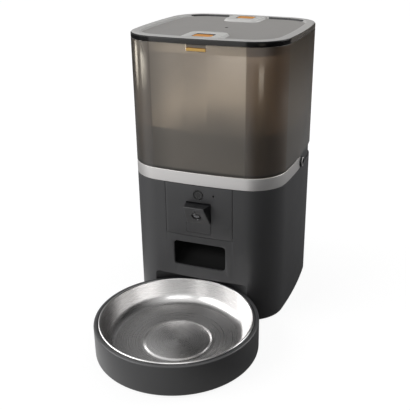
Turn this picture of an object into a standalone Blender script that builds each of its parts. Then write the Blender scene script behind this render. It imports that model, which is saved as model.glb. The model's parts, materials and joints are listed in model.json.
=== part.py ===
"""Camera pet feeder: a smoked tank on a moulded base that drops food down a chute into a steel bowl.

Metres, +Z up. The origin is on the floor at the middle of the whole feeder's footprint.
The front, with the bowl, faces -Y.
"""

import math

import bmesh
import bpy
from mathutils import Matrix, Vector

# Overall body: base and tank share one bowed square outline
BODY_WIDTH = 0.192
BODY_DEPTH = 0.1968
SIDE_BOW_RADIUS = 0.660
CORNER_RADIUS = 0.043
SIDE_STEPS = 2
CORNER_STEPS = 5
FOOT_HEIGHT = 0.0010
BASE_TOP = 0.1709
BAND_HEIGHT = 0.0146
LID_SEAM = 0.3290
LID_HEIGHT = 0.0086
SEAM_GAP = 0.0003
LOOSE_GAP = 0.0006
OVERRUN = 0.010
WELD = 1e-6
EDGE_TOLERANCE = 1e-5
SMOOTH_ANGLE = math.radians(30)
PEG_STEPS = 12
ROD_STEPS = 16
DRUM_STEPS = 20

# Bowl and its holder, in front of the base
HOLDER_OFFSET = 0.1683
HOLDER_RADIUS = 0.0935
HOLDER_HEIGHT = 0.0373
HOLDER_RIM_ROUND = 0.0018
HOLDER_FOOT_CHAMFER = 0.0020
HOLDER_FOOT_CLEARANCE = 0.0010
HOLDER_WALL = 0.0026
HOLDER_FLOOR = 0.0022
HOLDER_PAD_RADIUS = 0.0075
HOLDER_PAD_SETBACK = 0.0375
BOWL_STEPS = 36
BOWL_LIP_SETBACK = 0.0051
BOWL_LIP_HEIGHT = 0.0384
BOWL_LIP_WIDTH = 0.0036
BOWL_LIP_DROP = 0.0012
BOWL_WALL_RUN = 0.0149
BOWL_FILLET = 0.012
BOWL_FILLET_STEPS = 3
BOWL_FLOOR = 0.0060
BOWL_GAUGE = 0.0008
BOWL_DISC_RADIUS = 0.037
BOWL_DISC_SLOPE = 0.002
BOWL_DISC_RISE = 0.0012

# Base shell
WALL = 0.0026
BASE_CHAMFER = 0.0010
ALCOVE_CLEARANCE = 0.0008
ALCOVE_TOP = 0.0497
ALCOVE_ROUND = 0.0050
CHUTE_HALF_WIDTH = 0.0328
CHUTE_LOW = 0.0645
CHUTE_HIGH = 0.0963
CHUTE_CORNER = 0.0045
PANEL_HALF_WIDTH = 0.0418
PANEL_LOW = 0.1055
PANEL_THICKNESS = 0.0020
BOSS_RADIUS = 0.0042
BOSS_HEIGHT = 0.024
BOSS_BITE = 0.0006
SCREW_RADIUS = 0.0012
SCREW_HEAD_RADIUS = 0.0028
SCREW_HEAD = 0.0012
SCREW_LENGTH = 0.014

# Bottom cover, feet and speaker
COVER_THICKNESS = 0.0024
FOOT_STEPS = 16
FOOT_RADIUS = 0.0080
FOOT_SIDE_SETBACK = 0.0300
FOOT_FRONT_SETBACK = 0.0364
FOOT_REAR_SETBACK = 0.0304
SPEAKER_X = 0.030
SPEAKER_Y = 0.030
SPEAKER_RADIUS = 0.018
SPEAKER_HEIGHT = 0.0090
SPEAKER_MAGNET_RADIUS = 0.0105
SPEAKER_MAGNET_HEIGHT = 0.0060
GRILLE_SLOTS = 5
GRILLE_PITCH = 0.0050
GRILLE_SLOT_WIDTH = 0.0018
GRILLE_SLOT_LENGTH = 0.022

# Power socket at the back
INLET_STEPS = 14
INLET_X = 0.045
INLET_Z = 0.030
INLET_RADIUS = 0.0055
INLET_FLANGE_RADIUS = 0.0072
INLET_FLANGE = 0.0012
INLET_LENGTH = 0.0130
INLET_BORE_RADIUS = 0.0028
INLET_BORE_DEPTH = 0.0095
INLET_PIN_RADIUS = 0.0009

# Deck that closes the base, its collar and the bright band
DECK_LOW = 0.1660
DECK_THICKNESS = 0.0022
COLLAR_INSET = 0.0016
COLLAR_WALL = 0.0036
BAND_THICKNESS = 0.0013
BAND_END_SHARE = 0.55
MOUTH_RADIUS = 0.0400

# Round release buttons, one on each side in the band
RELEASE_STEPS = 20
RELEASE_Y = 0.0025
RELEASE_RADIUS = 0.0063
RELEASE_CLEARANCE = 0.0005
RELEASE_REACH = 0.0030
RELEASE_DISH_RADIUS = 0.0042
RELEASE_DISH_DEPTH = 0.0016
RELEASE_DISH_ROUND = 0.0008
RELEASE_FLANGE_RADIUS = 0.0071
RELEASE_FLANGE = 0.0012
NOTCH_MARGIN = 0.0012

# Dosing chamber, paddle wheel and its drive
CHAMBER_Y = 0.004
CHAMBER_RADIUS = 0.054
CHAMBER_WALL = 0.0022
CHAMBER_FLOOR = 0.1335
CHAMBER_FLOOR_THICKNESS = 0.0024
CHAMBER_FLANGE = 0.0045
CHAMBER_STEPS = 28
DROP_HALF_WIDTH = 0.0190
DROP_FRONT_Y = 0.0440
DROP_REAR_Y = 0.0200
ROTOR_CLEARANCE = 0.0015
ROTOR_HUB_RADIUS = 0.012
ROTOR_PADDLES = 6
ROTOR_PADDLE_THICKNESS = 0.0024
ROTOR_HEIGHT = 0.0255
ROTOR_DOME = 0.0040
SHAFT_RADIUS = 0.0040
SHAFT_REST = 0.0160
SHAFT_FOOT = 0.0030
GEAR_MODULE = 0.0013
GEAR_TEETH = 28
PINION_TEETH = 14
PRESSURE_ANGLE = math.radians(20)
FLANK_SHARES = (0.0, 0.5, 1.0)
ADDENDUM_SHARE = 0.8
DEDENDUM_SHARE = 1.1
GEAR_BACKLASH = 0.00022
GEAR_HEIGHT = 0.0060
GEAR_DROP = 0.0045
GEAR_SPREAD = 0.0001
PINION_SHAFT_RADIUS = 0.0025
PINION_SHAFT_SINK = 0.0080
GEARBOX_HALF_WIDTH = 0.0210
GEARBOX_FRONT_Y = 0.0100
GEARBOX_REAR_Y = 0.0540
GEARBOX_HEIGHT = 0.0170
GEARBOX_GAP = 0.0025
GEARBOX_ROUND = 0.0030
MOTOR_RADIUS = 0.0120
MOTOR_LENGTH = 0.0300
MOTOR_END_RADIUS = 0.0050
MOTOR_END = 0.0020
POST_RADIUS = 0.0035
POST_X = 0.0160
POST_Y = 0.0480

# Chute liner
LINER_WALL = 0.0016
LINER_MARGIN = 0.0006
LINER_CORNER = 0.0030
LINER_BEND_DROP = 0.0120
LINER_BEND_SETBACK = 0.0040
LINER_MOUTH_RUN = 0.0060

# Control panel and feed button
BUTTON_STEPS = 16
BUTTON_Z = 0.1590
BUTTON_RADIUS = 0.0044
BUTTON_FLANGE_RADIUS = 0.0054
BUTTON_LENGTH = 0.0065
BUTTON_FLANGE = 0.0012
BUTTON_TRAVEL = 0.0010
BUTTON_CLEARANCE = 0.0003
RING_RADIUS = 0.0058
RING_DEPTH = 0.0018
MIC_X = 0.0188
MIC_Z = 0.1598
MIC_RADIUS = 0.0010
BOARD_HALF_WIDTH = 0.0360
BOARD_LOW = 0.1516
BOARD_HIGH = 0.1652
BOARD_THICKNESS = 0.0016
BOARD_SETBACK = 0.0110
SWITCH_SIZE = 0.0060
SWITCH_RADIUS = 0.0016

# Camera pod on the panel
POD_HALF_WIDTH = 0.0152
POD_TIP_HALF_WIDTH = 0.0121
POD_LOW = 0.1108
POD_KINK = 0.1230
POD_TIP_Z = 0.1486
POD_HIGH = 0.1500
POD_REACH = 0.0157
POD_CORNER = 0.0015
POD_COVER = 0.0014
POD_BACK_SETBACK = 0.0184
LENS_SHARE = 0.46
LENS_RADIUS = 0.0058
LENS_GLASS_RADIUS = 0.0040
LENS_BARREL = 0.0058
LENS_PROUD = 0.0005
LENS_RECESS = 0.0010
LENS_DOME = 0.0012
LENS_STEPS = 16
SENSOR_SHARE = 0.82
SENSOR_RADIUS = 0.0013
SENSOR_DEPTH = 0.0030

# Tank and the funnel in its foot
TANK_WALL = 0.0024
SPIGOT_GAP = 0.0004
SPIGOT_WALL = 0.0022
SPIGOT_DROP = 0.0160
SHOULDER = 0.0024
FUNNEL_WALL = 0.0020
FUNNEL_TOP = 0.2350
FUNNEL_LIP = 0.0030
FUNNEL_NECK_RADIUS = 0.0370
FUNNEL_NECK_TOP = 0.1810
FUNNEL_NECK_LOW = 0.1700

# Lid
COVER_EDGE = 0.0017
COVER_INSET = 0.0004
COVER_ROUND = 0.0008
RIM_WIDTH = 0.0085
DECK_DROP = 0.0025
LID_DECK_THICKNESS = 0.0016
LID_DOT_RADIUS = 0.0016
LID_DOT_DEPTH = 0.0008
PAD_HALF_WIDTH = 0.0215
PAD_LENGTH = 0.0484
PAD_CORNER = 0.0090
FRAME_WIDTH = 0.0062
PLUG_INSET = 0.0040
PLUG_WALL = 0.0022
PLUG_DROP = 0.0080
SEAL_INSET = 0.0027

# Latch sliders
SLIDER_SETBACK = 0.0224
SLIDER_HALF_WIDTH = 0.0108
SLIDER_LENGTH = 0.0140
SLIDER_CORNER = 0.0030
SLIDER_SINK = 0.0004
SLIDER_TRAVEL = 0.0045
SLIDER_NECK_HALF_WIDTH = 0.0080
SLIDER_NECK_LENGTH = 0.0060
SLOT_CLEARANCE = 0.0004
TONGUE_HALF_WIDTH = 0.0113
TONGUE_DROP = 0.0015
TONGUE_THICKNESS = 0.0036
TONGUE_SINK = 0.0003
TONGUE_ROUND = 0.0008
TONGUE_CLEARANCE = 0.0004
GUIDE_WALL = 0.0020
GUIDE_LENGTH = 0.0260
RETAINER_THICKNESS = 0.0018

# Desiccant holder under the lid
DRY_STEPS = 24
DRY_RADIUS = 0.0300
DRY_WALL = 0.0016
DRY_HEIGHT = 0.0130
DRY_CAP = 0.0020
DRY_SLOTS = 8
DRY_SLOT_WIDTH = 0.0024
DRY_SLOT_IN = 0.0100
DRY_SLOT_OUT = 0.0230

# Places worked out from the sizes above
FRONT = BODY_DEPTH / 2
BODY_Y = (HOLDER_OFFSET + HOLDER_RADIUS - FRONT) / 2
LID_TOP = LID_SEAM + LID_HEIGHT
BAND_LOW = BASE_TOP + SEAM_GAP
BAND_HIGH = BAND_LOW + BAND_HEIGHT
BAND_MIDDLE = (BAND_LOW + BAND_HIGH) / 2
TANK_LOW = BAND_HIGH + SEAM_GAP
TANK_HIGH = LID_SEAM - SEAM_GAP
DECK_HIGH = DECK_LOW + DECK_THICKNESS
HOLDER_CENTRE = Vector((0, -HOLDER_OFFSET, 0))
BOWL_LIP_RADIUS = HOLDER_RADIUS - BOWL_LIP_SETBACK
BOWL_FOOT_RADIUS = BOWL_LIP_RADIUS - BOWL_WALL_RUN
HOLDER_PAD_CIRCLE = HOLDER_RADIUS - HOLDER_PAD_SETBACK
FOOT_X = BODY_WIDTH / 2 - FOOT_SIDE_SETBACK
FOOT_FRONT_Y = FRONT - FOOT_FRONT_SETBACK
FOOT_REAR_Y = FRONT - FOOT_REAR_SETBACK
POD_BACK_Y = FRONT - POD_BACK_SETBACK
PAD_INNER_Y = FRONT - PAD_LENGTH
SLIDER_Y = FRONT - SLIDER_SETBACK
TONGUE_HIGH = LID_SEAM - TONGUE_DROP
TONGUE_LOW = TONGUE_HIGH - TONGUE_THICKNESS


def clear_scene():
    for old in list(bpy.data.objects):
        bpy.data.objects.remove(old)


def new_collection(name):
    collection = bpy.data.collections.new(name)
    bpy.context.scene.collection.children.link(collection)
    return collection


clear_scene()
PARTS = new_collection("camera_pet_feeder")
CUTTERS = new_collection("cutters")


def new_empty(name, place):
    empty = bpy.data.objects.new(name, None)
    empty.location = place
    PARTS.objects.link(empty)
    return empty


BODY = new_empty("body_centre", (0, BODY_Y, 0))


def material(name, colour, roughness, metallic=0.0, alpha=1.0):
    made = bpy.data.materials.new(name)
    made.use_nodes = True
    shader = made.node_tree.nodes["Principled BSDF"]
    shader.inputs["Base Color"].default_value = (*colour, 1.0)
    shader.inputs["Roughness"].default_value = roughness
    shader.inputs["Metallic"].default_value = metallic
    shader.inputs["Alpha"].default_value = alpha
    return made


CHARCOAL = material("charcoal_plastic", (0.060, 0.060, 0.062), 0.55)
BLACK = material("black_plastic", (0.010, 0.010, 0.011), 0.5)
GLOSS_BLACK = material("gloss_black_plastic", (0.016, 0.016, 0.016), 0.15)
SILVER = material("silver_plastic", (0.560, 0.545, 0.540), 0.35, 0.3)
SMOKE = material("smoked_clear_plastic", (0.180, 0.150, 0.125), 0.12, 0.0, 0.6)
LID_GREY = material("grey_plastic", (0.400, 0.390, 0.375), 0.45)
ORANGE = material("orange_plastic", (0.620, 0.250, 0.070), 0.4)
STEEL = material("brushed_steel", (0.620, 0.610, 0.600), 0.28, 1.0)
RUBBER = material("dark_rubber", (0.020, 0.020, 0.020), 0.9)
SILICONE = material("pale_silicone", (0.620, 0.600, 0.560), 0.6)
GLASS = material("lens_glass", (0.015, 0.018, 0.030), 0.05)
BOARD = material("circuit_board", (0.020, 0.120, 0.050), 0.5)
ZINC = material("zinc_plated_steel", (0.500, 0.500, 0.500), 0.35, 1.0)
WHITE = material("white_plastic", (0.700, 0.700, 0.690), 0.5)


def link(obj, collection=PARTS, parent=BODY):
    collection.objects.link(obj)
    obj.parent = parent
    return obj


def from_bmesh(name, mesh_data):
    mesh = bpy.data.meshes.new(name)
    mesh_data.to_mesh(mesh)
    mesh_data.free()
    return link(bpy.data.objects.new(name, mesh))


def meshed(curve_object, keep_name):
    """A curve made a mesh, with its loose caps welded on."""
    bpy.context.view_layer.update()
    graph = bpy.context.evaluated_depsgraph_get()
    mesh = bpy.data.meshes.new_from_object(curve_object.evaluated_get(graph))
    mesh_data = bmesh.new()
    mesh_data.from_mesh(mesh)
    bmesh.ops.remove_doubles(mesh_data, verts=mesh_data.verts, dist=WELD)
    mesh_data.to_mesh(mesh)
    mesh_data.free()
    bpy.data.objects.remove(curve_object)
    return link(bpy.data.objects.new(keep_name, mesh))


def flat_piece(name, loops, low, high):
    """A flat outline, with holes where loops lie inside others, from z low to z high."""
    curve = bpy.data.curves.new(name, "CURVE")
    curve.dimensions = "2D"
    curve.fill_mode = "BOTH"
    curve.extrude = (high - low) / 2
    for loop in loops:
        spline = curve.splines.new("POLY")
        spline.points.add(len(loop) - 1)
        for point, (x, y) in zip(spline.points, loop):
            point.co = (x, y, 0, 1)
        spline.use_cyclic_u = True
    made = meshed(link(bpy.data.objects.new(name + "_outline", curve)), name)
    made.data.transform(Matrix.Translation((0, 0, (low + high) / 2)))
    return made


def front_piece(name, loops, near, far):
    """A flat outline drawn in x and z as seen from the front, from depth -far to -near along y."""
    made = flat_piece(name, loops, near, far)
    made.data.transform(Matrix.Rotation(math.pi / 2, 4, "X"))
    return made


def side_piece(name, loop, half_width):
    """A flat outline drawn in y and z, from x -half_width to +half_width."""
    made = flat_piece(name, [loop], -half_width, half_width)
    made.data.transform(Matrix(((0, 0, 1, 0), (1, 0, 0, 0), (0, 1, 0, 0), (0, 0, 0, 1))))
    return made


def box(name, low, high):
    mesh_data = bmesh.new()
    bmesh.ops.create_cube(mesh_data, size=1)
    size = [b - a for a, b in zip(low, high)]
    middle = [(a + b) / 2 for a, b in zip(low, high)]
    bmesh.ops.scale(mesh_data, vec=size, verts=mesh_data.verts)
    bmesh.ops.translate(mesh_data, vec=middle, verts=mesh_data.verts)
    return from_bmesh(name, mesh_data)


def cylinder(name, radius, low, high, centre=(0, 0), steps=DRUM_STEPS, top_radius=None):
    mesh_data = bmesh.new()
    upper = radius if top_radius is None else top_radius
    bmesh.ops.create_cone(
        mesh_data, cap_ends=True, segments=steps, radius1=radius, radius2=upper, depth=high - low
    )
    bmesh.ops.translate(mesh_data, vec=(*centre, (low + high) / 2), verts=mesh_data.verts)
    return from_bmesh(name, mesh_data)


def turned(name, profile, steps):
    """A profile of radius and height spun about z."""
    mesh_data = bmesh.new()
    verts = [mesh_data.verts.new((r, 0, z)) for r, z in profile]
    for a, b in zip(verts, verts[1:]):
        mesh_data.edges.new((a, b))
    made = from_bmesh(name, mesh_data)
    screw = made.modifiers.new("Turn", "SCREW")
    screw.steps = steps
    screw.render_steps = steps
    screw.use_merge_vertices = True
    screw.merge_threshold = WELD
    screw.use_smooth_shade = False
    return applied(made)


def applied(obj):
    """The object's evaluated mesh put in place of its modifiers."""
    bpy.context.view_layer.update()
    graph = bpy.context.evaluated_depsgraph_get()
    mesh = bpy.data.meshes.new_from_object(obj.evaluated_get(graph))
    obj.modifiers.clear()
    obj.data = mesh
    return obj


def moved(obj, offset):
    obj.data.transform(Matrix.Translation(offset))
    return obj


def combined(obj, operation, others):
    """A live Boolean for each of the other objects, which become cutters."""
    for other in others:
        boolean = obj.modifiers.new(other.name, "BOOLEAN")
        boolean.operation = operation
        boolean.solver = "EXACT"
        boolean.object = other
        if other.name in PARTS.objects:
            PARTS.objects.unlink(other)
            CUTTERS.objects.link(other)
        other.hide_render = True
        other.display_type = "WIRE"
    return obj


def cut(obj, *others):
    return combined(obj, "DIFFERENCE", others)


def joined(obj, *others):
    return combined(obj, "UNION", others)


def kept_inside(obj, *others):
    return combined(obj, "INTERSECT", others)


def round_edges(obj, at_height, radius, steps=2, sharper_than=math.radians(40)):
    """Bevels the sharp edges that lie at one height."""
    mesh_data = bmesh.new()
    mesh_data.from_mesh(obj.data)
    edges = [
        edge
        for edge in mesh_data.edges
        if all(abs(v.co.z - at_height) < EDGE_TOLERANCE for v in edge.verts)
        and edge.calc_face_angle(0) > sharper_than
    ]
    bmesh.ops.bevel(
        mesh_data, geom=edges, offset=radius, segments=steps, profile=0.5, affect="EDGES"
    )
    mesh_data.to_mesh(obj.data)
    mesh_data.free()
    return obj


def finished(obj, finish, pivot=None):
    """Gives the piece its material and shading, and puts its origin on its joint's axis."""
    obj.data.materials.clear()
    obj.data.materials.append(finish)
    obj.data.shade_smooth()
    obj.data.set_sharp_from_angle(angle=SMOOTH_ANGLE)
    if pivot is not None:
        obj.data.transform(Matrix.Translation(-Vector(pivot)))
        obj.location = pivot
    return obj


def corner_centre():
    """Centre of the corner arc that is tangent to the bowed front and to the bowed side."""
    p = SIDE_BOW_RADIUS - BODY_WIDTH / 2
    q = SIDE_BOW_RADIUS - BODY_DEPTH / 2
    reach = SIDE_BOW_RADIUS - CORNER_RADIUS
    slope = p / q
    rise = (p * p - q * q) / (2 * q)
    a = 1 + slope * slope
    b = slope * (rise + q)
    c = (rise + q) ** 2 - reach * reach
    x = (-b + math.sqrt(b * b - a * c)) / a
    return x, slope * x + rise


def body_outline(inset=0.0):
    """The bowed square outline drawn inwards by an even inset."""
    p = SIDE_BOW_RADIUS - BODY_WIDTH / 2
    q = SIDE_BOW_RADIUS - BODY_DEPTH / 2
    corner_x, corner_y = corner_centre()
    side_end = math.atan2(corner_y, corner_x + p)
    back_start = math.atan2(corner_y + q, corner_x)
    bow = SIDE_BOW_RADIUS - inset
    corner = CORNER_RADIUS - inset
    quarter = []
    for step in range(SIDE_STEPS):
        angle = side_end * step / SIDE_STEPS
        quarter.append((bow * math.cos(angle) - p, bow * math.sin(angle)))
    for step in range(CORNER_STEPS + 1):
        angle = side_end + (back_start - side_end) * step / CORNER_STEPS
        quarter.append((corner_x + corner * math.cos(angle), corner_y + corner * math.sin(angle)))
    for step in range(1, SIDE_STEPS):
        angle = back_start + (math.pi / 2 - back_start) * step / SIDE_STEPS
        quarter.append((bow * math.cos(angle), bow * math.sin(angle) - q))
    top = [(0.0, FRONT - inset)]
    right = quarter + top
    left = [(-x, y) for x, y in reversed(quarter)]
    upper = right + left
    lower = [(x, -y) for x, y in reversed(upper[1:-1])]
    return upper + lower


def front_at(x, inset=0.0):
    """Distance of the bowed front face from the body centre, at one x."""
    bow = SIDE_BOW_RADIUS - inset
    return math.sqrt(bow * bow - x * x) - (SIDE_BOW_RADIUS - FRONT)


def rounded_rectangle(left, right, low, high, corner, steps=3):
    points = []
    centres = (
        (right - corner, high - corner, 0),
        (left + corner, high - corner, 1),
        (left + corner, low + corner, 2),
        (right - corner, low + corner, 3),
    )
    for x, y, quarter in centres:
        for step in range(steps + 1):
            angle = (quarter + step / steps) * math.pi / 2
            points.append((x + corner * math.cos(angle), y + corner * math.sin(angle)))
    return points


def circle_points(radius, steps, centre=(0, 0)):
    turns = [2 * math.pi * step / steps for step in range(steps)]
    return [(centre[0] + radius * math.cos(t), centre[1] + radius * math.sin(t)) for t in turns]


def lofted_shell(name, rings, wall, outward=False):
    """An open surface through rings of matching points, thickened to a wall."""
    mesh_data = bmesh.new()
    loops = [[mesh_data.verts.new(point) for point in ring] for ring in rings]
    for upper, lower in zip(loops, loops[1:]):
        for index in range(len(upper)):
            following = (index + 1) % len(upper)
            corners = (upper[index], upper[following], lower[following], lower[index])
            mesh_data.faces.new(corners)
    bmesh.ops.recalc_face_normals(mesh_data, faces=mesh_data.faces)
    made = from_bmesh(name, mesh_data)
    thicken = made.modifiers.new("Wall", "SOLIDIFY")
    thicken.thickness = wall
    thicken.offset = 1.0 if outward else -1.0
    thicken.use_even_offset = True
    return applied(made)


def screw(name, x, y, head_low, head_first=True):
    """A countersunk screw that stands on its head."""
    head = cylinder(
        name, SCREW_HEAD_RADIUS, head_low, head_low + SCREW_HEAD, (x, y), PEG_STEPS, SCREW_RADIUS
    )
    shank = cylinder(
        name + "_shank", SCREW_RADIUS, head_low + SCREW_HEAD - SEAM_GAP,
        head_low + SCREW_LENGTH, (x, y), PEG_STEPS
    )
    return applied(joined(head, shank))


def boss_places():
    """Screw boss centres: just inside the wall, out along each corner's diagonal."""
    corner_x, corner_y = corner_centre()
    out = (CORNER_RADIUS - WALL - BOSS_RADIUS + BOSS_BITE) / math.sqrt(2)
    x = corner_x + out
    y = corner_y + out
    return [(sx * x, sy * y) for sx in (-1, 1) for sy in (-1, 1)]


def alcove(name, grown, top):
    """The round space in the base that the bowl holder slides into."""
    radius = HOLDER_RADIUS + ALCOVE_CLEARANCE + grown
    made = cylinder(name, radius, -OVERRUN, top, (0, -HOLDER_OFFSET), BOWL_STEPS)
    return round_edges(made, top, ALCOVE_ROUND)


def release_well(name, side, radius, inner, outer):
    """A cylinder along x through the side of the band."""
    made = cylinder(name, radius, inner, outer, steps=RELEASE_STEPS)
    made.data.transform(Matrix.Rotation(math.pi / 2 * side, 4, "Y"))
    return moved(made, (0, RELEASE_Y, BAND_MIDDLE))


def make_base_shell():
    """Outer housing, open above and below, with the alcove, the chute and the panel cut in its front."""
    shell = flat_piece("base_shell", [body_outline()], FOOT_HEIGHT, BASE_TOP)
    round_edges(shell, FOOT_HEIGHT, BASE_CHAMFER)
    hollow = flat_piece(
        "base_hollow", [body_outline(WALL)], FOOT_HEIGHT - OVERRUN, BASE_TOP + OVERRUN
    )
    cut(hollow, alcove("alcove_jacket", WALL, ALCOVE_TOP + WALL))
    cut(shell, hollow, alcove("alcove_space", 0, ALCOVE_TOP))
    low = FOOT_HEIGHT + COVER_THICKNESS + LOOSE_GAP
    for index, place in enumerate(boss_places()):
        boss = cylinder(f"boss_{index}", BOSS_RADIUS, low, low + BOSS_HEIGHT, place, PEG_STEPS)
        joined(shell, boss)
        pilot = cylinder(
            f"pilot_{index}", SCREW_RADIUS + SEAM_GAP, low - OVERRUN,
            low + SCREW_LENGTH + LOOSE_GAP, place, PEG_STEPS
        )
        cut(shell, pilot)
    window = rounded_rectangle(
        -CHUTE_HALF_WIDTH, CHUTE_HALF_WIDTH, CHUTE_LOW, CHUTE_HIGH, CHUTE_CORNER
    )
    cut(shell, front_piece("chute_window", [window], POD_BACK_Y, FRONT + OVERRUN))
    panel = box(
        "panel_window",
        (-PANEL_HALF_WIDTH - SEAM_GAP, -FRONT - OVERRUN, PANEL_LOW),
        (PANEL_HALF_WIDTH + SEAM_GAP, -POD_BACK_Y, BASE_TOP + OVERRUN),
    )
    cut(shell, panel)
    hole = cylinder(
        "inlet_hole", INLET_RADIUS + SEAM_GAP, FRONT - OVERRUN, FRONT + OVERRUN, steps=INLET_STEPS
    )
    hole.data.transform(Matrix.Rotation(-math.pi / 2, 4, "X"))
    cut(shell, moved(hole, (INLET_X, 0, INLET_Z)))
    finished(shell, CHARCOAL)


def foot_places():
    return [(sx * FOOT_X, y) for sx in (-1, 1) for y in (-FOOT_FRONT_Y, FOOT_REAR_Y)]


def make_bottom_cover():
    low = FOOT_HEIGHT + SEAM_GAP
    high = low + COVER_THICKNESS
    cover = flat_piece("base_bottom_cover", [body_outline(WALL + SEAM_GAP)], low, high)
    cut(cover, alcove("cover_alcove", WALL + SEAM_GAP, ALCOVE_TOP))
    for index, (x, y) in enumerate(boss_places()):
        sink = cylinder(
            f"sink_{index}", SCREW_HEAD_RADIUS + LOOSE_GAP, low - SEAM_GAP, low + SCREW_HEAD,
            (x, y), PEG_STEPS, SCREW_RADIUS + LOOSE_GAP
        )
        through = cylinder(
            f"through_{index}", SCREW_RADIUS + SEAM_GAP, low - OVERRUN, high + OVERRUN, (x, y), PEG_STEPS
        )
        cut(cover, sink, through)
    for index in range(GRILLE_SLOTS):
        x = SPEAKER_X + (index - (GRILLE_SLOTS - 1) / 2) * GRILLE_PITCH
        slot = box(
            f"grille_{index}",
            (x - GRILLE_SLOT_WIDTH / 2, SPEAKER_Y - GRILLE_SLOT_LENGTH / 2, low - OVERRUN),
            (x + GRILLE_SLOT_WIDTH / 2, SPEAKER_Y + GRILLE_SLOT_LENGTH / 2, high + OVERRUN),
        )
        cut(cover, slot)
    finished(cover, CHARCOAL)
    for index, (x, y) in enumerate(boss_places(), 1):
        finished(screw(f"cover_screw_{index}", x, y, low), ZINC)
    for index, place in enumerate(foot_places(), 1):
        foot = cylinder(f"rubber_foot_{index}", FOOT_RADIUS, 0, FOOT_HEIGHT, place, FOOT_STEPS)
        finished(round_edges(foot, 0, SEAM_GAP, 1), RUBBER)


def make_speaker():
    low = FOOT_HEIGHT + SEAM_GAP + COVER_THICKNESS + SEAM_GAP
    frame_top = low + SPEAKER_HEIGHT - SPEAKER_MAGNET_HEIGHT
    cone = cylinder("speaker", SPEAKER_RADIUS, low, frame_top, (SPEAKER_X, SPEAKER_Y), DRUM_STEPS)
    magnet = cylinder(
        "magnet", SPEAKER_MAGNET_RADIUS, frame_top - SEAM_GAP, low + SPEAKER_HEIGHT,
        (SPEAKER_X, SPEAKER_Y), ROD_STEPS
    )
    finished(joined(cone, magnet), BLACK)


def make_power_inlet():
    """Round power socket that fills its hole in the rear wall, with a blind bore for the plug."""
    wall = front_at(INLET_X)
    inner = wall - WALL - SEAM_GAP
    body = cylinder("power_inlet", INLET_RADIUS, inner - INLET_LENGTH, wall - SEAM_GAP, steps=INLET_STEPS)
    flange = cylinder(
        "inlet_flange", INLET_FLANGE_RADIUS, inner - INLET_FLANGE, inner - SEAM_GAP, steps=INLET_STEPS
    )
    joined(body, flange)
    bore = cylinder("inlet_bore", INLET_BORE_RADIUS, wall - INLET_BORE_DEPTH, wall + OVERRUN, steps=16)
    cut(body, bore)
    pin = cylinder(
        "inlet_pin", INLET_PIN_RADIUS, wall - INLET_BORE_DEPTH - SEAM_GAP, wall - SCREW_HEAD, steps=8
    )
    joined(body, pin)
    place = Matrix.Translation((INLET_X, 0, INLET_Z)) @ Matrix.Rotation(-math.pi / 2, 4, "X")
    for piece in (body, flange, bore, pin):
        piece.data.transform(place)
    finished(body, BLACK)


def make_deck():
    """Deck plate with the mouth of the dosing chamber, and the collar that takes the tank."""
    inside = WALL + SEAM_GAP
    inner = COLLAR_INSET + COLLAR_WALL
    deck = flat_piece("base_deck", [body_outline(inside)], DECK_LOW, DECK_HIGH)
    lower = flat_piece(
        "collar_foot", [body_outline(inside), body_outline(inner)], DECK_HIGH - SEAM_GAP, BAND_LOW
    )
    upper = flat_piece(
        "collar", [body_outline(COLLAR_INSET), body_outline(inner)], BAND_LOW - SEAM_GAP / 2, BAND_HIGH
    )
    joined(deck, lower, upper)
    cut(deck, cylinder(
        "mouth", MOUTH_RADIUS, DECK_LOW - OVERRUN, DECK_HIGH + OVERRUN, (0, CHAMBER_Y), CHAMBER_STEPS
    ))
    half = BODY_WIDTH / 2
    for side in (-1, 1):
        well = release_well(
            f"deck_well_{side}", side, RELEASE_RADIUS + RELEASE_CLEARANCE, half - 2 * OVERRUN,
            half + OVERRUN
        )
        cut(deck, well)
    finished(deck, CHARCOAL)


def make_band():
    """Bright trim round the front of the collar, ending at the two round buttons."""
    band = flat_piece(
        "trim_band", [body_outline(), body_outline(BAND_THICKNESS)], BAND_LOW, BAND_HIGH
    )
    end = RELEASE_Y - BAND_END_SHARE * RELEASE_RADIUS
    half = BODY_WIDTH / 2 + OVERRUN
    cut(band, box(
        "band_rear", (-half, end, BAND_LOW - OVERRUN), (half, FRONT + OVERRUN, BAND_HIGH + OVERRUN)
    ))
    for side in (-1, 1):
        well = release_well(
            f"band_well_{side}", side, RELEASE_RADIUS + RELEASE_CLEARANCE,
            half - 2 * OVERRUN, half + OVERRUN
        )
        cut(band, well)
    finished(band, SILVER)


def make_release_button(name, side):
    """Dished push button that slides inwards through the side of the collar."""
    half = BODY_WIDTH / 2
    collar_inside = half - COLLAR_INSET - COLLAR_WALL
    outer = half + RELEASE_REACH
    button = cylinder(name, RELEASE_RADIUS, collar_inside - SEAM_GAP, outer, steps=RELEASE_STEPS)
    round_edges(button, outer, RELEASE_DISH_ROUND, 1)
    flange_high = collar_inside - 2 * SEAM_GAP
    flange = cylinder(
        name + "_flange", RELEASE_FLANGE_RADIUS, flange_high - RELEASE_FLANGE, flange_high,
        steps=RELEASE_STEPS
    )
    stem = cylinder(
        name + "_stem", RELEASE_DISH_RADIUS, flange_high - SEAM_GAP, collar_inside, steps=RELEASE_STEPS
    )
    dish = cylinder(
        name + "_dish", RELEASE_DISH_RADIUS, outer - RELEASE_DISH_DEPTH, outer + OVERRUN,
        steps=RELEASE_STEPS
    )
    place = Matrix.Translation((0, RELEASE_Y, BAND_MIDDLE)) @ Matrix.Rotation(
        math.pi / 2 * side, 4, "Y"
    )
    for piece in (button, flange, stem, dish):
        piece.data.transform(place)
    joined(button, stem, flange)
    cut(button, dish)
    applied(button)
    finished(button, SILVER, (side * half, RELEASE_Y, BAND_MIDDLE))


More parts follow.
